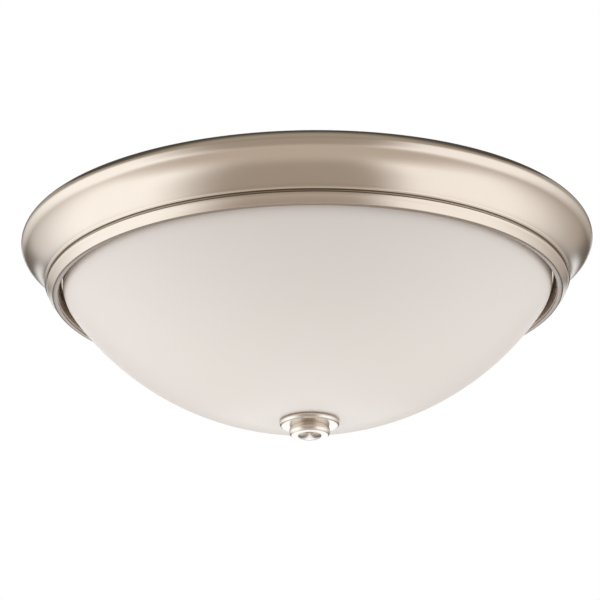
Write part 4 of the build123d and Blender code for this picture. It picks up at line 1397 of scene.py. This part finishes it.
def strew_tree():
    tree = node_tree(
        "strew",
        {"Ground": "Object", "Shape": "Object", "Density": "Float", "Seed": "Int", "Finish": "Material"},
    )
    given = tree.nodes.new("NodeGroupInput").outputs
    ground = tree.nodes.new("GeometryNodeObjectInfo")
    shape = tree.nodes.new("GeometryNodeObjectInfo")
    spread = tree.nodes.new("GeometryNodeDistributePointsOnFaces")
    turn = tree.nodes.new("FunctionNodeRandomValue")
    turn.data_type = "FLOAT_VECTOR"
    turn.inputs["Min"].default_value = (-fibre_tilt, -fibre_tilt, 0.0)
    turn.inputs["Max"].default_value = (fibre_tilt, fibre_tilt, 2 * pi)
    normal = tree.nodes.new("GeometryNodeInputNormal")
    split = tree.nodes.new("ShaderNodeSeparateXYZ")
    upward = tree.nodes.new("FunctionNodeCompare")
    upward.operation = "GREATER_THAN"
    upward.inputs["B"].default_value = upward_share
    copies = tree.nodes.new("GeometryNodeInstanceOnPoints")
    wire(
        tree,
        (given["Ground"], ground.inputs["Object"]),
        (given["Shape"], shape.inputs["Object"]),
        (ground.outputs["Geometry"], spread.inputs["Mesh"]),
        (normal.outputs["Normal"], split.inputs[0]),
        (split.outputs["Z"], upward.inputs["A"]),
        (upward.outputs["Result"], spread.inputs["Selection"]),
        (given["Density"], spread.inputs["Density"]),
        (given["Seed"], spread.inputs["Seed"]),
        (given["Seed"], turn.inputs["Seed"]),
        (spread.outputs["Points"], copies.inputs["Points"]),
        (shape.outputs["Geometry"], copies.inputs["Instance"]),
        (turn.outputs["Value"], copies.inputs["Rotation"]),
    )
    make_real(tree, copies, given["Finish"])
    return tree


strew_nodes = strew_tree()
print("nodes in the tree", len(strew_nodes.nodes))

# %% [markdown]
# There are hundreds of fibres, so one fibre has few faces: a bowed strand with three sides.

# %% Stray fibres
fibre_length, fibre_radius, fibre_bow, fibre_steps = 11.0, 0.11, 1.6, 6
fibre_density, fibre_seed = 16000.0, 7


def fibre():
    """A bowed strand with three sides, lying along X."""
    verts = []
    for i in range(fibre_steps + 1):
        share = 2 * i / fibre_steps - 1
        bow = fibre_bow * (1 - share * share)
        for k in range(3):
            turn = 2 * pi * k / 3
            across, up = fibre_radius * cos(turn) + bow, fibre_radius * sin(turn)
            verts.append((share * fibre_length / 2 * mm, across * mm, up * mm))
    faces = [[0, 1, 2], [3 * fibre_steps + 2, 3 * fibre_steps + 1, 3 * fibre_steps]]
    for i in range(fibre_steps):
        for k in range(3):
            faces.append([3 * i + k, 3 * i + 3 + k, 3 * i + 3 + (k + 1) % 3, 3 * i + (k + 1) % 3])
    return finish_mesh("fibre", verts, faces, wool)


strand = fibre()
strewn = {"Ground": mat, "Shape": strand, "Density": fibre_density, "Seed": fibre_seed, "Finish": wool}
fibres = grown("stray_fibres", strew_nodes, strewn)
bpy.data.objects.remove(strand)
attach(fibres, "root")
print("fibre faces", len(fibres.data.polygons), "top mm", round(fibres.dimensions.z / mm, 2))
settle(mat, "mineral_wool", "insulation_pad")

# %% [markdown]
# ## Carried over from the construction model
#
# Small plain parts, such as wires, washers and brackets, already have their true shape
# there. They only need their finish.

# %% Give the construction parts their finishes
carried = {
    "steel_washer": zinc,
    "rubber_washer": rubber,
    "crossbar": zinc,
    "ground_wire": copper,
    "lead_bushings": nylon,
    "lead_black_1": black_skin,
    "lead_black_2": black_skin,
    "lead_white_1": white_skin,
    "lead_white_2": white_skin,
}
for number in (1, 2):
    carried.update(
        {
            f"holder_{number}_screw_shell": brass,
            f"holder_{number}_contact": brass,
            f"holder_{number}_bracket": zinc,
            f"lamp_{number}_globe": lamp_white,
            f"lamp_{number}_screw_cap": aluminium,
            f"lamp_{number}_insulator": black_glass,
            f"lamp_{number}_contact": brass,
            f"lamp_{number}_stem": clear_glass,
            f"lamp_{number}_filament": tungsten,
        }
    )
for name, material in carried.items():
    slots = nodes[name].data.materials
    slots.clear()
    slots.append(material)
print("carried over", len(carried))

# %% [markdown]
# ## Studio
#
# The light hangs in a white room. The camera and the reflections see the room at full
# strength, and it lights the surfaces at about half of that. The world is one Background
# node, whose strength depends on the kind of ray that asks for it.

# %% White room
white_seen, white_light = 1.0, 0.55


def white_room():
    world = bpy.data.worlds.new("white_room")
    bpy.context.scene.world = world
    world.use_nodes = True
    tree = world.node_tree
    tree.nodes.clear()
    paths = tree.nodes.new("ShaderNodeLightPath").outputs
    seen = paths["Is Camera Ray"]
    for kind in ("Is Glossy Ray", "Is Transmission Ray"):
        either = tree.nodes.new("ShaderNodeMath")
        either.operation = "MAXIMUM"
        wire(tree, (seen, either.inputs[0]), (paths[kind], either.inputs[1]))
        seen = either.outputs[0]
    strength = tree.nodes.new("ShaderNodeMapRange")
    strength.inputs["To Min"].default_value = white_light
    strength.inputs["To Max"].default_value = white_seen
    sky = tree.nodes.new("ShaderNodeBackground")
    sky.inputs["Color"].default_value = (1, 1, 1, 1)
    output = tree.nodes.new("ShaderNodeOutputWorld")
    wire(
        tree,
        (seen, strength.inputs["Value"]),
        (strength.outputs["Result"], sky.inputs["Strength"]),
        (sky.outputs[0], output.inputs["Surface"]),
    )
    print("world nodes", len(tree.nodes))


white_room()

# %% [markdown]
# Satin metal shows what stands round it, so its light and dark bands are made there and not
# on the metal. A closed drum stands round the light, and only reflections see it. Seen from
# the light, its wall is grey in front and bright on both sides, and fades to a dull grey
# higher up. Behind, it is dark with a pale glow on each hand and a white sweep low down. A
# dark ceiling draws the thin dark line along the pan's upper edge. Angles count from
# straight in front, in degrees, and heights are in metres from the ceiling.

# %% What the nickel reflects
room_radius, room_top, room_foot, room_sides = 2.6, 2.0, -2.58, 64
front_grey, front_top, front_heights = (0.53, 0.50, 0.47), (0.25, 0.235, 0.22), (0.35, 1.1)
left_shade, left_span = (1.58, 1.73, 1.88), (30, 70, 100, 165)
right_shade, right_span = (1.46, 1.57, 1.70), (24, 48, 85, 150)
upper_grey, upper_heights = (0.52, 0.50, 0.46), (0.5, 1.3)
ground_grey, ground_reach = (0.74, 0.71, 0.68), (2.9, 0.9)
back_grey, back_turn = (0.16, 0.15, 0.14), (143, 153)
back_glow, glow_span, glow_heights = (1.05, 1.09, 1.13), (146, 160, 168, 176), (0.12, 0.42, 0.6, 0.9)
back_white, sweep_turn, sweep_depths = (1.50, 1.64, 1.78), (163, 172), (0.25, 0.5)
dark_ceiling, ceiling_reach = (0.10, 0.095, 0.09), (-1.6, 0.3)
seam_start, seam_end = 0.02, 0.01


def span(finish, value, start, full, fade, end):
    """1 between full and fade, falling softly to 0 at start and at end."""
    return finish.rise(value, start, full) * (1 - finish.rise(value, fade, end))


def room_finish():
    finish = Finish("reflected_room")
    x, y, z = finish.parts(finish.point())
    right = finish.node("ShaderNodeMath", {"operation": "ARCTAN2"}, [x, y * -1])
    left, turn = right * -1, right.maths("ABSOLUTE")
    reach = (x * x + y * y) ** 0.5
    ground = finish.rise(z, room_foot + seam_start, room_foot + seam_end) * finish.rise(reach, *ground_reach)
    glow = span(finish, turn, *map(radians, glow_span)) * span(finish, z, *glow_heights)
    sweep = finish.rise(turn, *map(radians, sweep_turn)) * finish.rise(z * -1, *sweep_depths)
    ceiling = finish.blend(finish.rise(y, *ceiling_reach), upper_grey, dark_ceiling)
    wall = finish.blend(finish.rise(z, *front_heights), front_grey, front_top)
    for mask, shade in (
        (span(finish, left, *map(radians, left_span)), left_shade),
        (span(finish, right, *map(radians, right_span)), right_shade),
        (finish.rise(z, *upper_heights), upper_grey),
        (ground, ground_grey),
        (finish.rise(turn, *map(radians, back_turn)), back_grey),
        (glow, back_glow),
        (sweep, back_white),
        (finish.rise(z, room_top - seam_start, room_top - seam_end), ceiling),
    ):
        wall = finish.blend(mask, wall, shade)
    return finish.wear(
        Base_Color=(0.0, 0.0, 0.0), Specular_IOR_Level=0.0, Emission_Color=wall, Emission_Strength=1.0
    )


room_material = room_finish()
print("nodes in the room's finish", len(room_material.node_tree.nodes))

# %% [markdown]
# The drum itself is a plain prism with many sides. Only glossy rays see it, so it neither
# lights the piece nor casts a shadow.


# %% Build the drum
def reflected_room():
    """A closed drum round the light, which only reflections see."""
    verts, faces = [(0.0, 0.0, room_top)], []
    for level in (room_top, room_foot):
        verts += [
            (room_radius * sin(2 * pi * i / room_sides), room_radius * cos(2 * pi * i / room_sides), level)
            for i in range(room_sides)
        ]
    verts.append((0.0, 0.0, room_foot))
    for i in range(room_sides):
        j = (i + 1) % room_sides
        faces.append([0, 1 + i, 1 + j])
        faces.append([1 + i, 1 + room_sides + i, 1 + room_sides + j, 1 + j])
        faces.append([2 * room_sides + 1, 1 + room_sides + j, 1 + room_sides + i])
    mesh = bpy.data.meshes.new("reflected_room")
    mesh.from_pydata(verts, [], faces)
    mesh.materials.append(room_material)
    room = bpy.data.objects.new("reflected_room", mesh)
    bpy.context.scene.collection.objects.link(room)
    room.visible_camera = False
    room.visible_diffuse = False
    room.visible_shadow = False
    room.visible_transmission = False
    print("drum sides", room_sides)


reflected_room()

# %% [markdown]
# A plain pale floor lies well below the light. It is large enough that its edge doesn't
# show, and low enough that a camera can look up at the bowl from underneath.

# %% Floor
floor_half, floor_level = 10.0, -6.5
corners = [(x * floor_half, y * floor_half, floor_level) for x, y in ((-1, -1), (1, -1), (1, 1), (-1, 1))]
floor_mesh = bpy.data.meshes.new("floor")
floor_mesh.from_pydata(corners, [], [[0, 1, 2, 3]])
floor_mesh.materials.append(Finish("pale_floor").wear(Base_Color=(0.86, 0.855, 0.85), Roughness=0.9))
floor = bpy.data.objects.new("floor", floor_mesh)
bpy.context.scene.collection.objects.link(floor)
print("floor half width m", floor_half)

# %% [markdown]
# ## Lamps
#
# Four area lamps light the glass: a large one on each side, a weak one low in front, and a
# stronger one low behind, which brightens the bowl's lower edge. Reflections don't see
# them, because the drum already has its own bright sides.

# %% Soft boxes
light_centre = Vector((0.0, 0.0, -0.05))


def soft_box(name, place, width, height, power):
    lamp = bpy.data.lights.new(name, "AREA")
    lamp.shape = "RECTANGLE"
    lamp.size = width
    lamp.size_y = height
    lamp.energy = power
    piece = bpy.data.objects.new(name, lamp)
    piece.location = place
    piece.rotation_euler = (light_centre - Vector(place)).to_track_quat("-Z", "Y").to_euler()
    piece.visible_glossy = False
    bpy.context.scene.collection.objects.link(piece)
    print(name, "watts", power)


soft_box("left_box", place=(-1.9, -0.6, -0.6), width=1.6, height=1.8, power=17.0)
soft_box("right_box", place=(1.9, -0.6, -0.6), width=1.6, height=1.8, power=14.2)
soft_box("low_fill", place=(0.0, -1.0, -2.2), width=1.6, height=1.6, power=3.0)
soft_box("back_fill", place=(0.0, 1.3, -2.1), width=1.6, height=1.6, power=23.0)

# %% [markdown]
# ## Camera
#
# The camera stands below and in front of the light, looking up at it, far enough away that
# the pan's circle hardly tapers. Its place, tilt and lens were worked out from the ellipses
# of the pan's rings.

# %% Camera
camera_place = (0.0, -1.905, -0.7416)
camera_pitch, camera_yaw, camera_roll = 0.3515, -0.0027, -0.0140
focal_pixels, picture_pixels = 3050.5, 600
sensor = 36.0


def make_camera():
    camera = bpy.data.cameras.new("camera")
    camera.sensor_width = sensor
    camera.lens = sensor * (focal_pixels / picture_pixels)
    camera.clip_start = 0.05
    piece = bpy.data.objects.new("camera", camera)
    bpy.context.scene.collection.objects.link(piece)
    forward = Vector(
        (sin(camera_yaw) * cos(camera_pitch), cos(camera_yaw) * cos(camera_pitch), sin(camera_pitch))
    )
    right = Vector((cos(camera_yaw), -sin(camera_yaw), 0))
    up = right.cross(forward)
    side = right * cos(camera_roll) + up * sin(camera_roll)
    top = up * cos(camera_roll) - right * sin(camera_roll)
    turn = Matrix((side, top, -forward)).transposed()
    piece.matrix_world = Matrix.Translation(camera_place) @ turn.to_4x4()
    bpy.context.scene.camera = piece
    print("lens mm", round(camera.lens, 1))


make_camera()
bpy.context.scene.view_settings.view_transform = "Standard"
